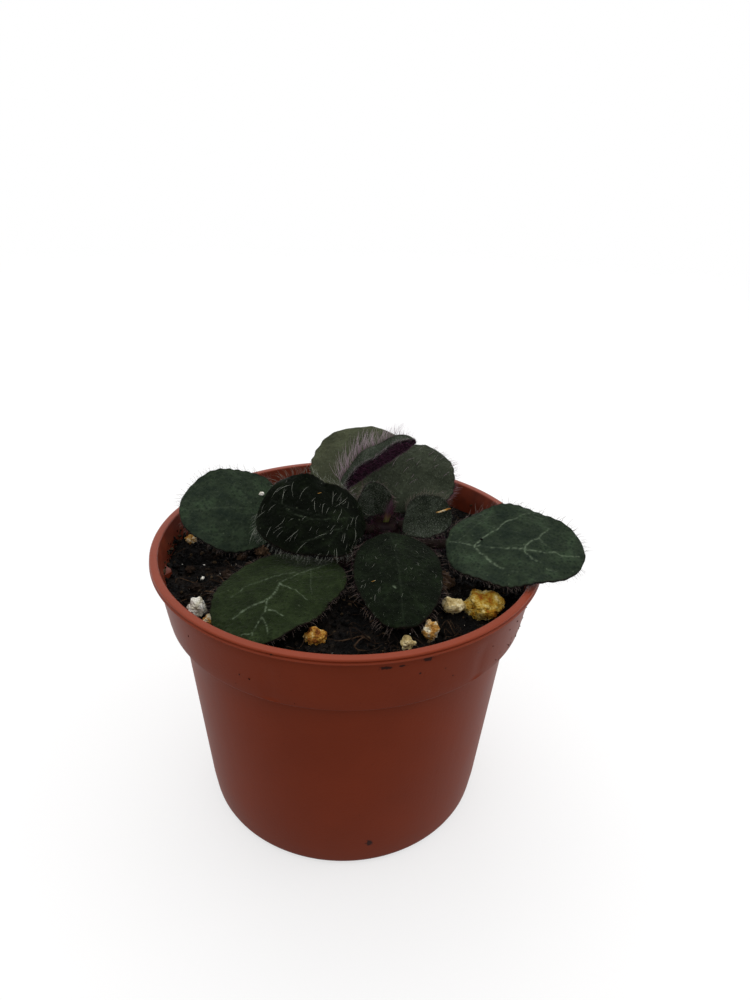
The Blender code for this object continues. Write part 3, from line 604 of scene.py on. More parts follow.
def pot_profile():
    """Half the pot's section, from the middle of its underside round the lip to the middle of its floor."""
    lip = POT_HEIGHT - LIP_HEIGHT
    ledge = STEP_HEIGHT + WALL
    taper = math.degrees(math.atan2(WALL_TOP_RADIUS - FOOT_RADIUS, STEP_HEIGHT))
    outside = [(0.0, 0.0), (12.0, 0.0), (20.0, 0.0), (28.0, 0.0)]
    outside += arc((FOOT_RADIUS - FOOT_ROUND, FOOT_ROUND), FOOT_ROUND, -90, -taper, 7)
    outside += [(FOOT_RADIUS + (WALL_TOP_RADIUS - FOOT_RADIUS) * k / 8, STEP_HEIGHT * k / 8)
                for k in range(1, 8)]
    outside += arc((WALL_TOP_RADIUS + 0.9, STEP_HEIGHT - 0.95), 0.9, 180, 95, 5)
    outside += arc((COLLAR_FOOT_RADIUS - 0.45, STEP_HEIGHT + 0.42), 0.45, -90, 0, 4)
    outside += [(COLLAR_FOOT_RADIUS + (COLLAR_TOP_RADIUS - COLLAR_FOOT_RADIUS) * k / 8,
                 STEP_HEIGHT + (COLLAR_HEIGHT - LIP_HEIGHT) * k / 8) for k in range(1, 8)]
    outside += [(COLLAR_TOP_RADIUS - 0.25, lip - 0.35), (COLLAR_TOP_RADIUS - 0.3, lip + 0.05)]
    outside += arc((LIP_RADIUS - 0.2, lip + 0.2), 0.2, -90, 60, 4)
    outside += [(LIP_RADIUS - 0.34, lip + 0.5), (LIP_RADIUS - 0.3, lip + 0.62)]      # a groove round the lip
    outside += arc((LIP_RADIUS - 0.45, POT_HEIGHT - 0.35), 0.35, 0, 90, 5)
    inside = arc((MOUTH_RADIUS + 0.35, POT_HEIGHT - 0.35), 0.35, 90, 180, 5)
    heights = (lip - 1.2, lip - 2.6, RIB_TOP + 0.4, RIB_TOP, RIB_TOP - 0.4, 62.0, 60.0, 58.0, 56.5)
    inside += [(inner_radius(z), z) for z in heights]
    inside += [(inner_radius(ledge + 0.6), ledge + 0.6), (inner_radius(ledge + 0.6) - 0.5, ledge + 0.1),
               (inner_radius(STEP_HEIGHT) + 0.3, ledge)]
    inside += [(inner_radius(z), z) for z in (STEP_HEIGHT - 1.0, 40.0, 25.0, 10.0, FLOOR + 2.0)]
    inside += [(inner_radius(FLOOR + 2.0) - 0.5, FLOOR + 0.6), (inner_radius(FLOOR + 2.0) - 1.6, FLOOR)]
    return outside + inside + [(24.0, FLOOR), (12.0, FLOOR), (0.0, FLOOR)]


def make_pot(material):
    """The pot as it is moulded: rounded foot, lip and step, ribs inside the collar, and drain holes."""
    ribs = [math.radians(RIB_FIRST_DEG + k * 360.0 / RIB_COUNT) for k in range(RIB_COUNT)]

    def with_ribs(radius, height, angle):
        off = min(abs(math.remainder(angle - rib, math.tau)) for rib in ribs) * radius
        in_collar = STEP_HEIGHT + WALL + 0.5 < height < RIB_TOP + 0.1
        if in_collar and radius < inner_radius(height) + 0.1:
            rise = max(0.0, min(1.0, (RIB_WIDTH / 2 + 0.4 - off) / 0.4))
            return radius - RIB_DEPTH * rise
        if STEP_HEIGHT + 0.3 < height < RIB_TOP and radius > inner_radius(height) + 0.5:
            return radius - SINK_MARK_DEPTH * math.exp(-(off / 1.1) ** 2)      # behind each rib
        return radius

    pot = add_piece("pot_moulding", *revolve(pot_profile(), POT_SIDES, with_ribs), material)
    for k in range(DRAIN_HOLES):
        place = Vector(around(DRAIN_CIRCLE, math.tau * (k + 0.5) / DRAIN_HOLES, FLOOR / 2)) * MM
        drill = bmesh.new()
        bmesh.ops.create_cone(drill, cap_ends=True, segments=32, radius1=DRAIN_RADIUS * MM,
                              radius2=DRAIN_RADIUS * MM, depth=4 * FLOOR * MM,
                              matrix=Matrix.Translation(place))
        cutter = add_piece("drain", np.zeros((0, 3)), [])
        drill.to_mesh(cutter.data)
        drill.free()
        modifier = pot.modifiers.new("drain", "BOOLEAN")
        modifier.operation = "DIFFERENCE"
        modifier.solver = "MANIFOLD"
        modifier.object = cutter
        apply_modifiers(pot)
        bpy.data.objects.remove(cutter)
    pot.data.shade_smooth()
    pot.data.set_sharp_from_angle(angle=math.radians(SHARP_EDGE_DEG))
    finish_piece(pot, "pot_plastic", "pot")


def soil_height(x, y):
    """The height of the soil at a place, as in the CAD model."""
    edge = min(1.0, math.hypot(x, y) / MOUTH_RADIUS)
    mound = SOIL_EDGE_HEIGHT + (SOIL_CROWN_HEIGHT - SOIL_EDGE_HEIGHT) * math.cos(edge * math.pi / 2)
    rough = noise.noise(Vector((x * 0.13, y * 0.13, SOIL_SEED)))
    fine = noise.noise(Vector((x * 0.35, y * 0.35, SOIL_SEED * 2)))
    return mound + SOIL_ROUGHNESS * (rough + 0.4 * fine)


def crumbs(x, y):
    """Height of the crumbly surface over the soil's smooth height: lumps of 2.4 and 0.9 mm, and grit."""
    lumps = noise.voronoi(Vector((x * 0.42, y * 0.42, 1.3)))[0][0]
    small = noise.voronoi(Vector((x * 1.15, y * 1.15, 7.9)))[0][0]
    grit = noise.fractal(Vector((x * 1.9, y * 1.9, 4.1)), 0.6, 2.1, 4)
    return 0.8 * (0.5 - lumps) + 0.8 * (0.45 - small) + 0.5 * grit


def on_soil(x, y, lift):
    """A point over the crumbly surface."""
    return x, y, soil_height(x, y) + crumbs(x, y) + lift


def make_soil(material):
    """The soil: a crumbly top that meets the pot's wall, on a block that fills the pot."""
    rim = inner_radius(SOIL_EDGE_HEIGHT) - 0.05
    n = SOIL_GRID
    points, faces, shade = [], [], []
    for j in range(n + 1):
        for i in range(n + 1):
            u, v = 2 * i / n - 1, 2 * j / n - 1
            x = rim * u * math.sqrt(1 - v * v / 2)
            y = rim * v * math.sqrt(1 - u * u / 2)
            inside = 1.0 - max(abs(u), abs(v)) ** 24
            points.append((x, y, soil_height(x, y) + crumbs(x, y) * inside))
            shade.append(0.35 + 0.5 * noise.noise(Vector((x * 0.2, y * 0.2, 9.0))))
    for j in range(n):
        for i in range(n):
            a = j * (n + 1) + i
            faces.append((a, a + 1, a + n + 2, a + n + 1))
    loop = list(range(n)) + [(n + 1) * j + n for j in range(n)]
    loop += [(n + 1) * n + i for i in range(n, 0, -1)] + [(n + 1) * j for j in range(n, 0, -1)]
    step = STEP_HEIGHT + WALL
    side = [(inner_radius(58.0) - 0.1, 58.0), (inner_radius(step + 0.7) - 1.5, step + 0.4),
            (inner_radius(STEP_HEIGHT - 1.5) - 0.3, STEP_HEIGHT - 1.5),
            (inner_radius(FLOOR + 2.0) - 0.3, FLOOR + 2.3), (inner_radius(FLOOR + 2.0) - 2.2, FLOOR + 0.3)]
    above = loop
    for radius, height in side:
        row = list(range(len(points), len(points) + len(loop)))
        for k in loop:
            x, y, _ = points[k]
            scale = radius / math.hypot(x, y)
            points.append((x * scale, y * scale, height))
        faces += [(above[m], above[k], row[k], row[m]) for k, m in enumerate([*range(1, len(loop)), 0])]
        above = row
    faces += [(len(points), above[k], above[k - 1]) for k in [*range(1, len(loop)), 0]]
    points.append((0.0, 0.0, FLOOR + 0.3))
    shade += [0.3] * (len(points) - len(shade))
    finish_piece(add_piece("peat_soil", points, faces, material, shade=shade), "peat_soil", "soil")


def ball(detail):
    """The ways out of a round ball's middle to its points, and its faces."""
    work = bmesh.new()
    bmesh.ops.create_icosphere(work, subdivisions=detail, radius=1.0)
    ways = [vertex.co.normalized() for vertex in work.verts]
    faces = [[v.index for v in face.verts] for face in work.faces]
    work.free()
    return ways, faces


def blob(bumpiness, detail, seed, squash=(1.0, 1.0, 1.0), pitch=1.7):
    """Points and faces of a lumpy grain of radius 1."""
    ways, faces = ball(detail)
    points = []
    for way in ways:
        lump = noise.noise(way * pitch + Vector((seed, 0.0, 0.0)))
        lump += 0.5 * noise.noise(way * pitch * 2.3 + Vector((0.0, seed, 0.0)))
        points.append([c * s * (1.0 + bumpiness * lump) for c, s in zip(way, squash)])
    return points, faces


def make_grain(name, material):
    """One grain of perlite: a cluster of swollen bubbles."""
    grain = GRAINS[name]
    x, y = grain["at"]
    half = grain["size"] / 2
    height = half * grain["tall"]
    centre = Vector((x, y, soil_height(x, y) + height * (1.0 - 2.0 * GRAIN_SUNK)))
    ways, faces = ball(5)
    points = []
    for way in ways:
        lump = 1.0 + 0.42 * noise.noise(way * 1.3 + Vector((x, y, 0.0)))
        bubble = noise.voronoi(way * half * 1.1 + Vector((y, x, 3.0)))[0][0]
        grit = noise.fractal(way * half * 2.6 + Vector((x, 2.0, y)), 0.8, 2.0, 3)
        lump *= 1.03 - min(0.2, 0.05 * half) * min(1.0, bubble) ** 2 + 0.14 * grit / half
        points.append(tuple(centre + Vector((way.x * half, way.y * half, way.z * height)) * lump))
    slot = "white_grain" if grain["look"] in ("cream", "white") else "stained_grain"
    finish_piece(add_piece(name + "_foam", points, faces, material), slot, name)


def smooth_path(points, shares):
    """Points at shares of the length of a smooth curve through the points, and that length, as in the CAD."""
    spans = [(b - a).length for a, b in zip(points, points[1:])]
    slopes = [(b - a) / span for a, b, span in zip(points, points[1:], spans)]
    tangents = [slopes[0]]
    for k in range(len(slopes) - 1):
        before, after = spans[k], spans[k + 1]
        tangents.append((slopes[k] * after + slopes[k + 1] * before) / (before + after))
    tangents.append(slopes[-1])
    dense, lengths = [points[0]], [0.0]
    steps = 32
    for k, span in enumerate(spans):
        for step in range(1, steps + 1):
            t = step / steps
            dense.append(points[k] * (2 * t ** 3 - 3 * t * t + 1) + points[k + 1] * (3 * t * t - 2 * t ** 3)
                         + tangents[k] * span * (t ** 3 - 2 * t * t + t)
                         + tangents[k + 1] * span * (t ** 3 - t * t))
            lengths.append(lengths[-1] + (dense[-1] - dense[-2]).length)
    found = []
    for share in shares:
        want = share * lengths[-1]
        k = next(i for i in range(1, len(dense)) if lengths[i] >= want or i == len(dense) - 1)
        found.append(dense[k - 1].lerp(dense[k], (want - lengths[k - 1]) / (lengths[k] - lengths[k - 1])))
    return found, lengths[-1]


def half_spread(leaf, along):
    """Half the blade's width at a share of its length."""
    return leaf["width"] / 2 * max(0.0, math.sin(math.pi * along ** leaf["widest"])) ** leaf["round"]


def noise_row(pitch, p, q, seed):
    """Noise at the places (p, each of q)."""
    return np.array([noise.noise(Vector((p * pitch, v * pitch, seed))) for v in q])


def vein_field(leaf, length):
    """A function of place on the blade that is 0 on plain leaf and up to 1 on a vein. Veins are thin, wander
    a little and break up into flecks, as where the leaf's air spaces show silver."""
    segments = []
    for strength, path in leaf["veins"]:
        spots = [(along * length, across * half_spread(leaf, along)) for along, across in path]
        for k, (a, b) in enumerate(zip(spots, spots[1:])):
            segments.append((*a, *b, strength * (1.0 - 0.35 * k / len(spots))))
    ax, ay, bx, by, strength = (np.array(column)[:, None] for column in zip(*segments))
    run = np.maximum((bx - ax) ** 2 + (by - ay) ** 2, 1e-9)

    def field(p, q):
        wander = noise_row(0.8, p, q, 2.0)
        flecks = noise_row(1.9, p, q, 5.0)
        x, y = p + 0.35 * wander, q + 0.3 * wander
        t = np.clip(((x - ax) * (bx - ax) + (y - ay) * (by - ay)) / run, 0.0, 1.0)
        off = np.hypot(x - ax - t * (bx - ax), y - ay - t * (by - ay))
        width = 0.12 + 0.05 * strength
        line = np.max(strength * np.exp(-(off / width) ** 2), axis=0)
        return 0.85 * line * np.clip(0.6 + 1.3 * flecks, 0.1, 1.0)

    return field


def leaf_spine(leaf, rings):
    """Shares of the leaf's length, closest at the blade's ends, the midrib's points there and its length."""
    crown = CROWNS[leaf["crown"]]
    first = Vector(leaf["midrib"][0])
    root = Vector((*crown["at"], leaf["height"]))
    out = Vector((first.x - root.x, first.y - root.y, 0.0)).normalized()
    met = root + out * (CROWN_RADIUS + CROWN_GAP)
    blade = leaf["blade"]
    stalk_rings = max(8, int(60 * blade))
    shares = [blade * k / stalk_rings for k in range(stalk_rings)]
    for k in range(rings):
        even = k / rings
        shares.append(blade + (1.0 - blade) * (0.45 * even + 0.55 * 0.5 * (1 - math.cos(math.pi * even))))
    shares.append(1.0)
    midrib = [met, met + out * PETIOLE_RADIUS] + [Vector(p) for p in leaf["midrib"]]
    spine, length = smooth_path(midrib, shares)
    spine[0] = root + out * (CROWN_RADIUS - 0.4)      # the petiole starts inside the crown's skin
    return shares, spine, length


def make_leaf(name, material):
    """One leaf: a round petiole that spreads into a thin blade with sunken veins and a finely toothed margin.
    Its attributes say where its veins, margin and underside are and how its hairs grow. Also gives the narrow
    band round its margin, for the fringe, and a function that finds a place on the upper face."""
    leaf = LEAVES[name]
    large = leaf["width"] > SMALL_LEAF_WIDTH
    rings, columns = FINE_GRID if leaf.get("fine") else LARGE_GRID if large else SMALL_GRID
    shares, spine, full_length = leaf_spine(leaf, rings)
    blade = leaf["blade"]
    length = full_length * (1.0 - blade)
    left = Vector(leaf["across"]).normalized()
    u = np.linspace(-1.0, 1.0, columns)
    u = np.sin(u * math.pi / 2) * 0.35 + u * 0.65
    seed = sum(leaf["midrib"][0])
    veins = vein_field(leaf, length)
    turn = math.pi * (np.arange(columns) + 0.5) / columns
    points, ways, surface = [], [], []
    values = {key: [] for key in ("vein", "edge", "under", "top", "below", "stalk")}
    band = dict(points=[], ways=[], size=[])
    fringe = leaf["fringe"]
    for k, share in enumerate(shares[:-1]):
        tangent = (spine[k + 1] - spine[max(0, k - 1)]).normalized()
        up = tangent.cross(left).normalized()
        tangent, up, side = (np.array(way) for way in (tangent, up, up.cross(tangent)))
        along = max(0.0, (share - blade) / (1.0 - blade))
        spread = half_spread(leaf, along)
        radius = PETIOLE_RADIUS * min(1.0, leaf["width"] / FULL_PETIOLE_WIDTH) * (1.0 - 0.5 * along)
        half = math.hypot(radius, spread)
        flat = min(1.0, 4.0 * spread / (leaf["width"] / 2))
        p, q = along * length, half * u
        teeth = 1.0 + 0.012 * math.sin(p * 2.9 + 1.3 * math.sin(along * 9.0 + seed)) * np.abs(u) ** 10
        waves = np.sin(math.tau * MARGIN_WAVES * along + MARGIN_SHIFT * u)
        lift = leaf["fold"] * np.abs(u) * spread + leaf["cup"] * u * u * spread
        lift += leaf["wave"] * np.abs(u) ** 3 * flat * waves
        vein = veins(p, q) * flat
        puckers = noise_row(0.5, p, q, seed) + 0.4 * noise_row(1.3, p, q, seed)
        lift += flat * (0.2 * puckers - 0.12 * vein) * (1.0 - np.abs(u) ** 6)
        thick = MARGIN_THICKNESS + (MIDRIB_THICKNESS - MARGIN_THICKNESS) * (1.0 - np.abs(u)) ** 2
        edge = np.clip((np.abs(u) * half - (half - 0.45)) / 0.45, 0.0, 1.0) ** 2 * flat * 0.55
        edge = np.maximum(edge, 1.0 - flat)
        stalk = 1.0 if flat < 0.5 else 0.0
        for sign in (1.0, -1.0):
            x = -radius * np.cos(turn) * (1.0 - flat) + half * u * teeth * flat
            z = sign * radius * np.sin(turn) * (1.0 - flat) + (lift + sign * thick / 2) * flat
            row = np.array(spine[k])[None] + x[:, None] * side + z[:, None] * up
            if stalk:
                way = (x[:, None] * side + z[:, None] * up) / radius
            else:
                way = np.cross(tangent, np.gradient(row, axis=0))
                way = way / np.linalg.norm(way, axis=1)[:, None] * sign + tangent * 0.35
            order = slice(None) if sign > 0 else slice(None, None, -1)
            points.extend(row[order].tolist())
            ways.extend(way[order].tolist())
            upper, lower = float(sign > 0), float(sign < 0)
            for key, amount in (("vein", vein * upper), ("edge", edge), ("under", lower * flat),
                                ("top", upper * (1.0 - stalk)), ("below", lower * (1.0 - stalk)),
                                ("stalk", stalk)):
                values[key].extend(np.broadcast_to(amount, columns)[order])
            if sign > 0:
                surface.append((along, row, up))
            if not stalk and along > 0.02:
                shorter = 1.0 - (1.0 - leaf.get("tip", 1.0)) * along ** 2
                for last, inner, reach in ((-1, -4, fringe[1]), (0, 3, fringe[2])):
                    outward = row[last] - row[inner]
                    outward = outward / np.linalg.norm(outward) + tangent * (0.1 + 0.9 * along ** 4)
                    band["points"].append(row[last].tolist())
                    band["ways"].append((outward + up * 0.3).tolist())
                    band["size"].append(shorter * reach / max(fringe[1:3]))
    faces = closed_skin(len(shares) - 1, 2 * columns)
    points.append(tuple(spine[-1]))
    for value in (ways, *values.values()):
        value.append(value[-1])
    piece = add_piece(name + "_blade", points, faces, material, hair_way=ways,
                      size=[1.0] * len(points), **values)
    finish_piece(piece, slot_of(name), name)
    # The band's points go upper left, upper right, lower left, lower right
    strips = [(k + a, k + a + 2, k + a + 6, k + a + 4) for k in range(0, len(band["points"]) - 4, 4)
              for a in (0, 1)]
    margin = add_piece(name + "_margin", band["points"], strips, hair_way=band["ways"], size=band["size"],
                       margin=[1.0 / MARGIN_THICKNESS] * len(band["size"]))

    def place_on(along, across):
        near = min(surface, key=lambda entry: abs(entry[0] - along))
        return Vector(near[1][np.argmin(np.abs(u - across))]), Vector(near[2])

    return piece, margin, place_on


def slot_of(name):
    """The material slot of a leaf in the record."""
    return "young_leaf" if name in YOUNG_LEAVES else "leaf_blade"


def make_strand(name, steps, thickness, curl):
    """One hair 1 millimetre long, to make copies of: tapered and curved, with its "along" value."""
    points, along = [], []
    for k in range(steps):
        t = k / steps
        for i in range(STRAND_SIDES):
            x, y, _ = around(thickness * (1.0 - 0.7 * t), math.tau * i / STRAND_SIDES, t)
            points.append((x + curl * t * t, y, t))
            along.append(t)
    points.append((curl, 0.0, 1.0))
    return add_piece(name, points, closed_skin(steps, STRAND_SIDES), along=along + [1.0])


def growth_tree():
    """A tree that grows copies of a strand on a mesh. The mesh's own attributes say where hairs grow, which
    way they point and how long they are there. They bow towards the bend."""
    tree = bpy.data.node_groups.new("growth", "GeometryNodeTree")
    node = partial(add_node, tree)
    sockets = {"Geometry": "Geometry", "Strand": "Object", "Material": "Material", "Where": "String",
               "Per square metre": "Float", "Length": "Float", "Spread": "Float", "Lean": "Float",
               "Bend": "Vector", "Seed": "Int"}
    for name, kind in sockets.items():
        tree.interface.new_socket(name, in_out="INPUT", socket_type="NodeSocket" + kind)
    tree.interface.new_socket("Geometry", in_out="OUTPUT", socket_type="NodeSocketGeometry")
    given = node("NodeGroupInput").outputs
    where = node("GeometryNodeInputNamedAttribute", {"Name": given["Where"]})
    amount = node("Math", (where, given["Per square metre"]), operation="MULTIPLY")
    spots = node("GeometryNodeDistributePointsOnFaces",
                 {"Mesh": given["Geometry"], "Density": amount, "Seed": given["Seed"]})
    way = node("GeometryNodeInputNamedAttribute", {"Name": "hair_way"}, data_type="FLOAT_VECTOR")
    chance = node("FunctionNodeRandomValue", {0: (-1.0, -1.0, -1.0), 1: (1.0, 1.0, 1.0), "Seed": 11},
                  data_type="FLOAT_VECTOR")
    aside = node("VectorMath", {0: chance, "Scale": given["Spread"]}, operation="SCALE")
    loose = node("VectorMath", (way, aside), operation="ADD")
    laid = node("VectorMath", {0: given["Bend"], "Scale": given["Lean"]}, operation="SCALE")
    lean = node("VectorMath", (loose, laid), operation="ADD")
    stand = node("FunctionNodeAlignRotationToVector", {"Vector": lean}, axis="Z")
    bowed = node("FunctionNodeAlignRotationToVector", {"Rotation": stand, "Vector": given["Bend"]},
                 axis="X", pivot_axis="Z")
    spin = node("FunctionNodeRandomValue", {2: -0.9, 3: 0.9, "Seed": 5}, data_type="FLOAT")
    about = node("FunctionNodeAxisAngleToRotation", {"Axis": (0.0, 0.0, 1.0), "Angle": spin})
    turned = node("FunctionNodeRotateRotation", {"Rotation": bowed, "Rotate By": about},
                  rotation_space="LOCAL")
    size = node("GeometryNodeInputNamedAttribute", {"Name": "size"})
    varied = node("FunctionNodeRandomValue", {2: 0.5, 3: 1.2, "Seed": 8}, data_type="FLOAT")
    mean = node("Math", (size, given["Length"]), operation="MULTIPLY")
    long = node("Math", (mean, varied), operation="MULTIPLY")
    source = node("GeometryNodeObjectInfo", {"Object": given["Strand"], "As Instance": True})
    copies = node("GeometryNodeInstanceOnPoints", {"Points": spots, "Instance": source.outputs["Geometry"],
                                                   "Rotation": turned, "Scale": long})
    real = node("GeometryNodeRealizeInstances", {"Geometry": copies})
    dressed = node("GeometryNodeSetMaterial", {"Geometry": real, "Material": given["Material"]})
    node("NodeGroupOutput", {"Geometry": dressed})
    return tree


def grow(tree, name, base, slot, **given):
    """Grows strands on a base piece and keeps them as a plain mesh. Inputs are named as in the tree."""
    holder = bpy.data.objects.new(name, base.data.copy())
    bpy.context.collection.objects.link(holder)
    modifier = holder.modifiers.new("growth", "NODES")
    modifier.node_group = tree
    for item in tree.interface.items_tree:
        key = item.name.replace(" ", "_")
        if item.in_out == "INPUT" and key in given:
            modifier[item.identifier] = given[key]
    apply_modifiers(holder)
    finish_piece(holder, slot)


def make_crown(name, material):
    """One crown: a short stem, ringed by the scars of old leaves."""
    x, y = CROWNS[name]["at"]
    top = CROWNS[name]["top"]
    foot = CROWN_FOOT + 3.0
    profile = [(0.0, CROWN_FOOT), (CROWN_RADIUS * 0.7, CROWN_FOOT), (CROWN_RADIUS, foot)]
    steps = 24
    profile += [(CROWN_RADIUS - 0.12 * (k % 3 == 0), foot + (top - 1.6 - CROWN_FOOT - 3.0) * k / steps)
                for k in range(steps + 1)]
    profile += arc((CROWN_RADIUS - 1.6, top - 1.6), 1.6, 20, 90, 5) + [(0.0, top)]
    points, faces = revolve(profile, 40)
    points = [(px + x, py + y, pz) for px, py, pz in points]
    ways = [(px - x, py - y, 1.5 * max(0.0, pz - top + 2.0)) for px, py, pz in points]
    shown = [float(pz > soil_height(x, y) + 0.5) for px, py, pz in points]
    piece = add_piece(name + "_stem", points, faces, material, hair_way=ways, stalk=shown,
                      size=[1.0] * len(points))
    finish_piece(piece, "plant_stem", name)
    return piece


def make_bud(material):
    """The bud: two small leaves pressed together, under a tuft of hair."""
    x, y = CROWNS["crown_front"]["at"]
    foot = CROWNS["crown_front"]["top"]
    profile = [(0.0, foot - 0.2), (BUD_RADIUS * 0.8, foot - 0.2)]
    for k in range(1, 12):
        t = k / 12
        profile.append((BUD_RADIUS * (0.8 + 0.6 * t) * (1 - t ** 2.2) ** 0.8, foot + BUD_HEIGHT * t))
    profile.append((0.0, foot + BUD_HEIGHT))

    def two_leaves(radius, _, angle):
        return radius * (1.0 - 0.35 * math.exp(-(math.sin(angle) / 0.25) ** 2))

    points, faces = revolve(profile, 32, two_leaves)
    points = [(x + px + 0.22 * (pz - foot), y + 0.6 * py + 0.12 * (pz - foot), pz) for px, py, pz in points]
    ways = [((px - x) * 0.5, (py - y) * 0.5, 0.8) for px, py, pz in points]
    ones = [1.0] * len(points)
    piece = add_piece("bud_leaves", points, faces, material, hair_way=ways, top=ones, size=ones)
    finish_piece(piece, "young_leaf", "bud")
    return piece


def scatter(name, shapes, spots, material, slot):
    """Copies of small shapes at given spots, joined as one plain piece. A spot is a place, a size, a turn and
    a shade from 0, darkest, to 1."""
    points, faces, shades = [], [], []
    for k, (place, size, turn, shade) in enumerate(spots):
        shape_points, shape_faces = shapes[k % len(shapes)]
        start = len(points)
        points.extend((np.array(shape_points) * size @ np.array(turn).T + np.array(place)).tolist())
        shades += [shade] * len(shape_points)
        faces += [tuple(start + i for i in face) for face in shape_faces]
    finish_piece(add_piece(name, points, faces, material, shade=shades), slot)


def random_turn(chance):
    """A turn in any direction."""
    axis = Vector((chance.gauss(0, 1), chance.gauss(0, 1), chance.gauss(0, 1))).normalized()
    return Matrix.Rotation(chance.uniform(0, math.tau), 3, axis)


def in_pot(chance):
    """A random place on the soil."""
    radius = (inner_radius(SOIL_EDGE_HEIGHT) - 0.8) * math.sqrt(chance.random())
    return around(radius, chance.uniform(0, math.tau), 0.0)[:2]


def tube(path, radius, sides):
    """Points and faces of a closed round tube along a path, tapered at its ends."""
    points, faces = [], []
    for k, place in enumerate(path):
        before, after = Vector(path[max(0, k - 1)]), Vector(path[min(len(path) - 1, k + 1)])
        way = (after - before).normalized()
        aside = way.cross(Vector((0.0, 0.0, 1.0))).normalized()
        over = aside.cross(way)
        width = radius * (0.45 if k in (0, len(path) - 1) else 1.0)
        for i in range(sides):
            turn = math.tau * i / sides
            points.append(tuple(Vector(place) + (aside * math.cos(turn) + over * math.sin(turn)) * width))
    for k in range(0, (len(path) - 1) * sides, sides):
        faces += [(k + (i + 1) % sides, k + i, k + sides + i, k + sides + (i + 1) % sides)
                  for i in range(sides)]
    faces.append(tuple(range(sides)))
    faces.append(tuple(range(len(points) - sides, len(points)))[::-1])
    return points, faces


def make_litter(peat, fibre, white):
    """What lies loose on the soil: crumbs and clods of peat, bark, specks of perlite and fibres."""
    chance = random.Random(LITTER_SEED)
    lumps = [blob(0.6, 1, seed, (1.0, 0.8, 0.6), 1.9) for seed in (1.0, 5.0, 9.0, 14.0)]
    spots = []
    for _ in range(CRUMB_COUNT):
        place = in_pot(chance)
        size = 0.14 + 0.6 * chance.random() ** 3
        spots.append((on_soil(*place, 0.25 * size), size, random_turn(chance), chance.random() ** 2))
    scatter("peat_crumbs", lumps, spots, peat, "peat_soil")
    spots = []
    for (x, y), size, tall, shade in CLODS:
        turn = Matrix.Rotation(chance.uniform(0, math.tau), 3, "Z") @ Matrix.Diagonal((1.0, 0.8, tall))
        spots.append(((x, y, soil_height(x, y) + 0.15 * size), size / 2, turn, shade))
    clods = [blob(0.6, 4, seed, pitch=2.4) for seed in (3.0, 8.0, 12.0)]
    scatter("bark_clods", clods, spots, fibre, "peat_soil")
    spots = []
    for _ in range(SPECK_COUNT):
        place = in_pot(chance)
        size = 0.1 + 0.3 * chance.random() ** 3
        spots.append((on_soil(*place, 0.3 * size), size, random_turn(chance), 0.0))
    spots += [(on_soil(*place, 0.5 * size), size, random_turn(chance), 0.0) for place, size in SPECKS]
    scatter("perlite_specks", lumps, spots, white, "white_grain")
    threads = []
    for k in range(6):
        bend = 0.12 + 0.08 * k
        path = [(t - 0.5, bend * math.sin(math.pi * t * (1 + 0.3 * k)), 0.12 * math.sin(math.tau * t + k))
                for t in (j / 8 for j in range(9))]
        threads.append(tube(path, 0.014 + 0.003 * k, 4))
    spots = []
    for k in range(FIBRE_COUNT):
        x, y = in_pot(chance)
        if k % 3 == 0:
            mat = FIBRE_MATS[k // 3 % len(FIBRE_MATS)]
            x, y = mat[0] + chance.gauss(0, 3.0), mat[1] + chance.gauss(0, 2.2)
            if math.hypot(x, y) > inner_radius(SOIL_EDGE_HEIGHT) - 1.5:
                continue
        size = 1.5 + 5.0 * chance.random() ** 2
        lying = Matrix.Rotation(chance.uniform(0, math.tau), 3, "Z")
        lying @= Matrix.Rotation(chance.gauss(0, 0.3), 3, "X")
        spots.append(((x, y, soil_height(x, y) + 0.6), size, lying, chance.random()))
    scatter("peat_fibres", threads, spots, fibre, "peat_soil")


def make_leaf_bits(places, materials):
    """Small things that lie on the leaves, such as a grain of perlite and dry fibres."""
    chance = random.Random(LEAF_BITS_SEED)
    for name, leaf, along, across, size, kind in LEAF_BITS:
        place, up = places[leaf](along, across)
        if kind == "dry fibre":
            path = [(t, 0.12 * math.sin(3.0 * t), 0.08 * t * t) for t in (k / 6 - 0.5 for k in range(7))]
            points, faces = tube(path, 0.07, 6)
        else:
            points, faces = blob(0.4, 3, 2.0 + along, (1.0, 0.8, 0.6))
        turn = up.to_track_quat("Z", "Y").to_matrix() @ Matrix.Rotation(chance.uniform(-0.4, 0.4), 3, "Z")
        moved = np.array(points) * size @ np.array(turn).T + np.array(place + up * 0.3 * size)
        piece = add_piece(name, moved.tolist(), faces, materials[kind])
        finish_piece(piece, "white_grain" if kind == "perlite" else "peat_soil")


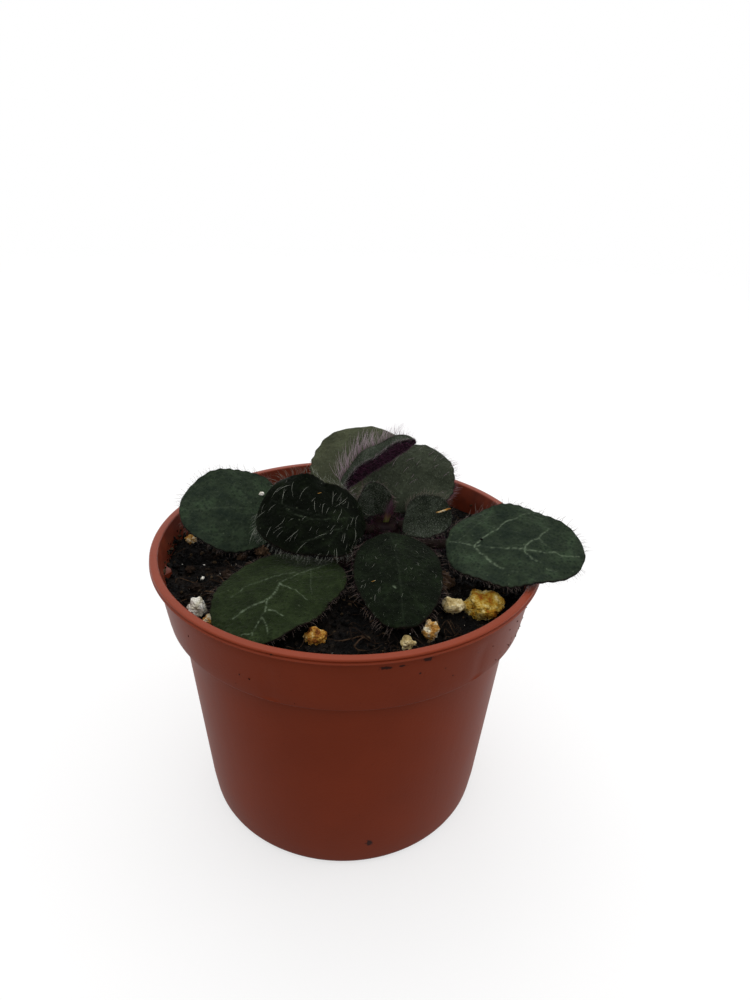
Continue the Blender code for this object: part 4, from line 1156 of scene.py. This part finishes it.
def make_wall_dirt(peat):
    """Crumbs of peat stuck to the collar: inside, most of them at the left, and fine specks outside."""
    chance = random.Random(WALL_DIRT_SEED)
    lumps = [blob(0.5, 2, seed, (1.0, 0.8, 0.5), 1.9) for seed in (2.0, 7.0, 11.0)]
    spots = []
    for k in range(WALL_CRUMB_COUNT):
        turn = math.radians(chance.gauss(178, 16) if k % 2 else chance.uniform(0, 360))
        height = SOIL_EDGE_HEIGHT + abs(chance.gauss(0, 1.4))
        if height > POT_HEIGHT - 1.6:
            continue
        size = 0.15 + 0.5 * chance.random() ** 2
        place = around(inner_radius(height) - 0.05, turn, height)
        spots.append((place, size, random_turn(chance), chance.random()))
    scatter("wall_crumbs", lumps, spots, peat, "peat_soil")
    spots = []
    for k in range(COLLAR_SPECK_COUNT):
        turn = math.radians(chance.gauss(-27, 9) if k % 5 else chance.uniform(180, 360))
        height = chance.uniform(STEP_HEIGHT + 1.0, POT_HEIGHT - LIP_HEIGHT - 1.0)
        size = 0.08 + 0.22 * chance.random() ** 2
        spots.append((around(collar_radius(height), turn, height), size, random_turn(chance), 0.1))
    scatter("collar_specks", lumps, spots, peat, "peat_soil")


def make_stage():
    """A plain pale floor that fades into the white room. It isn't part of the object."""
    sides = 64
    points = [around(STAGE_RADIUS, math.tau * k / sides, 0.0) for k in range(sides)]
    made = bpy.data.materials.new("pale paper")
    made.use_nodes = True
    made.node_tree.nodes.clear()
    node = partial(add_node, made.node_tree)
    place = node("TexCoord").outputs["Object"]
    far = node("VectorMath", (place,), operation="LENGTH")
    fade = node("MapRange", (far, 0.2, 1.0), interpolation_type="SMOOTHSTEP")
    paper = node("BsdfDiffuse", {"Color": (0.4, 0.4, 0.4, 1.0)})
    lit = node("AddShader", (paper, node("Emission", {"Strength": 0.61})))
    dim = node("BsdfDiffuse", {"Color": (0.22, 0.22, 0.22, 1.0)})
    # In the pot's skin the floor beyond it mirrors bright, and the floor before it dim
    ahead = node("SeparateXYZ", (place,)).outputs["Y"]
    sheet = node("Emission", {"Strength": node("MapRange", (ahead, -0.05, 0.04, 0.22, 0.85))})
    path = node("LightPath").outputs
    other = node("MixShader", (path["Is Glossy Ray"], dim, sheet))
    both = node("MixShader", (path["Is Camera Ray"], other, lit))
    faded = node("MixShader", (fade, both, node("BsdfTransparent")))
    node("OutputMaterial", {"Surface": faded})
    add_piece("floor", points, [tuple(range(sides))], made)


def make_light():
    """Soft light from above, as under a bright ceiling, with one softbox above and behind the plant and
    one at its right."""
    world = bpy.data.worlds.new("room")
    bpy.context.scene.world = world
    world.use_nodes = True
    world.node_tree.nodes.clear()
    node = partial(add_node, world.node_tree)
    axes = node("SeparateXYZ", (node("TexCoord").outputs["Generated"],)).outputs
    level = node("MapRange", (axes["Z"], -0.05, 0.55, 0.12, 1.05))
    low = node("MapRange", (axes["Z"], 0.1, 0.5, 1.0, 0.3))
    beyond = node("MapRange", (axes["Y"], -0.8, 0.1, 1.0, 2.2))
    mirrored = node("Math", (low, beyond), operation="MULTIPLY")
    path = node("LightPath").outputs
    strength = node("Mix", {0: path["Is Glossy Ray"], 2: level, 3: mirrored})
    room = node("Background", {"Color": "#ffffff", "Strength": strength})
    seen = node("Background", {"Color": "#ffffff", "Strength": 1.0})
    node("OutputWorld", {"Surface": node("MixShader", (path["Is Camera Ray"], room, seen))})
    for name, (place, size, power) in SOFTBOXES.items():
        light = bpy.data.lights.new(name, "AREA")
        light.size = size
        light.energy = power
        lamp = bpy.data.objects.new(name, light)
        lamp.location = place
        aim = Vector((0.0, 0.0, 0.05)) - Vector(place)
        lamp.rotation_euler = aim.to_track_quat("-Z", "Y").to_euler()
        lamp.visible_camera = False
        bpy.context.collection.objects.link(lamp)


def make_camera():
    """The camera, at the photograph's own viewpoint."""
    data = bpy.data.cameras.new("camera")
    data.lens = CAMERA_LENS
    data.sensor_width = CAMERA_SENSOR
    data.clip_start = 0.005
    camera = bpy.data.objects.new("camera", data)
    camera.matrix_world = (Matrix.Translation(CAMERA_AT)
                           @ Matrix.Rotation(math.radians(90 - CAMERA_DOWN_DEG), 4, "X")
                           @ Matrix.Rotation(math.radians(CAMERA_ROLL_DEG), 4, "Z"))
    bpy.context.collection.objects.link(camera)
    bpy.context.scene.camera = camera


def make_hairs(tree, hairs, strands, name, piece, margin, seed):
    """The hairs of one leaf: down on its faces, long hairs, the petiole's hairs and the margin's fringe."""
    leaf = LEAVES[name]
    for label, where, base, given in (
            ("down", "top", piece, leaf["fuzz"]), ("underside", "below", piece, leaf.get("below")),
            ("hairs", "top", piece, leaf.get("long")), ("petiole", "stalk", piece, leaf["stalk"]),
            ("fringe", "margin", margin, leaf["fringe"])):
        if given is None:
            continue
        length = max(given[1:-1])
        seed += 1
        strand = next(strands[key] for key, (limit, *_) in STRANDS.items() if length < limit)
        grow(tree, f"{name}_{label}", base, slot_of(name), Strand=strand, Material=hairs[given[-1]],
             Where=where, Per_square_metre=given[0] / MM ** 2, Length=length, Bend=leaf["bend"], Seed=seed,
             Spread=0.5 if label == "fringe" else 0.8, Lean=LONG_HAIR_LEAN if label == "hairs" else 0.0)


def main():
    bpy.context.scene.view_settings.view_transform = "Standard"
    make_camera()
    make_stage()
    make_light()
    peat = peat_material("moist peat", (0.4, 0.95), [(0.35, "#020202"), (0.55, "#090706"), (0.75, "#1b1510"),
                                                     (0.95, "#4b3d2b")])
    fibre = peat_material("bark and fibre", (0.8, 0.95), [(0.35, "#0e0a08"), (0.6, "#211812"),
                                                          (0.85, "#3f2f22"), (1.0, "#5e4936")])
    stem = stem_material()
    perlite = {look: perlite_material(look + " perlite", stops) for look, stops in PERLITE_LOOKS.items()}
    make_pot(pot_material())
    make_soil(peat)
    make_litter(peat, fibre, perlite["white"])
    make_wall_dirt(peat)
    for name, grain in GRAINS.items():
        make_grain(name, perlite[grain["look"]])
    blades = {tone: leaf_material(tone) for tone in LEAF_TONES}
    hairs = {kind: hair_material(kind) for kind in HAIRS}
    strands = {name: make_strand(name, *sizes) for name, (_, *sizes) in STRANDS.items()}
    tree = growth_tree()
    places = {}
    scraps = list(strands.values())
    for k, name in enumerate(LEAVES):
        piece, margin, places[name] = make_leaf(name, blades[LEAVES[name]["tone"]])
        make_hairs(tree, hairs, strands, name, piece, margin, 30 + 7 * k)
        scraps.append(margin)
    make_leaf_bits(places, {"perlite": perlite["white"], "dry fibre": perlite["amber"], "bark": fibre})
    middle = dict(Strand=strands["middle_hair"], Material=hairs["magenta"])
    for name in CROWNS:
        grow(tree, name + "_hairs", make_crown(name, stem), "plant_stem", **middle, Where="stalk",
             Per_square_metre=1.0 / MM ** 2, Length=1.5, Spread=0.5, Bend=(0.0, 0.0, 1.0), Seed=60)
    grow(tree, "bud_hairs", make_bud(bud_material()), "young_leaf", **middle, Where="top",
         Per_square_metre=3.5 / MM ** 2, Length=2.2, Spread=0.35, Bend=(0.0, -0.3, 1.0), Seed=61)
    for scrap in scraps:
        bpy.data.objects.remove(scrap)


main()
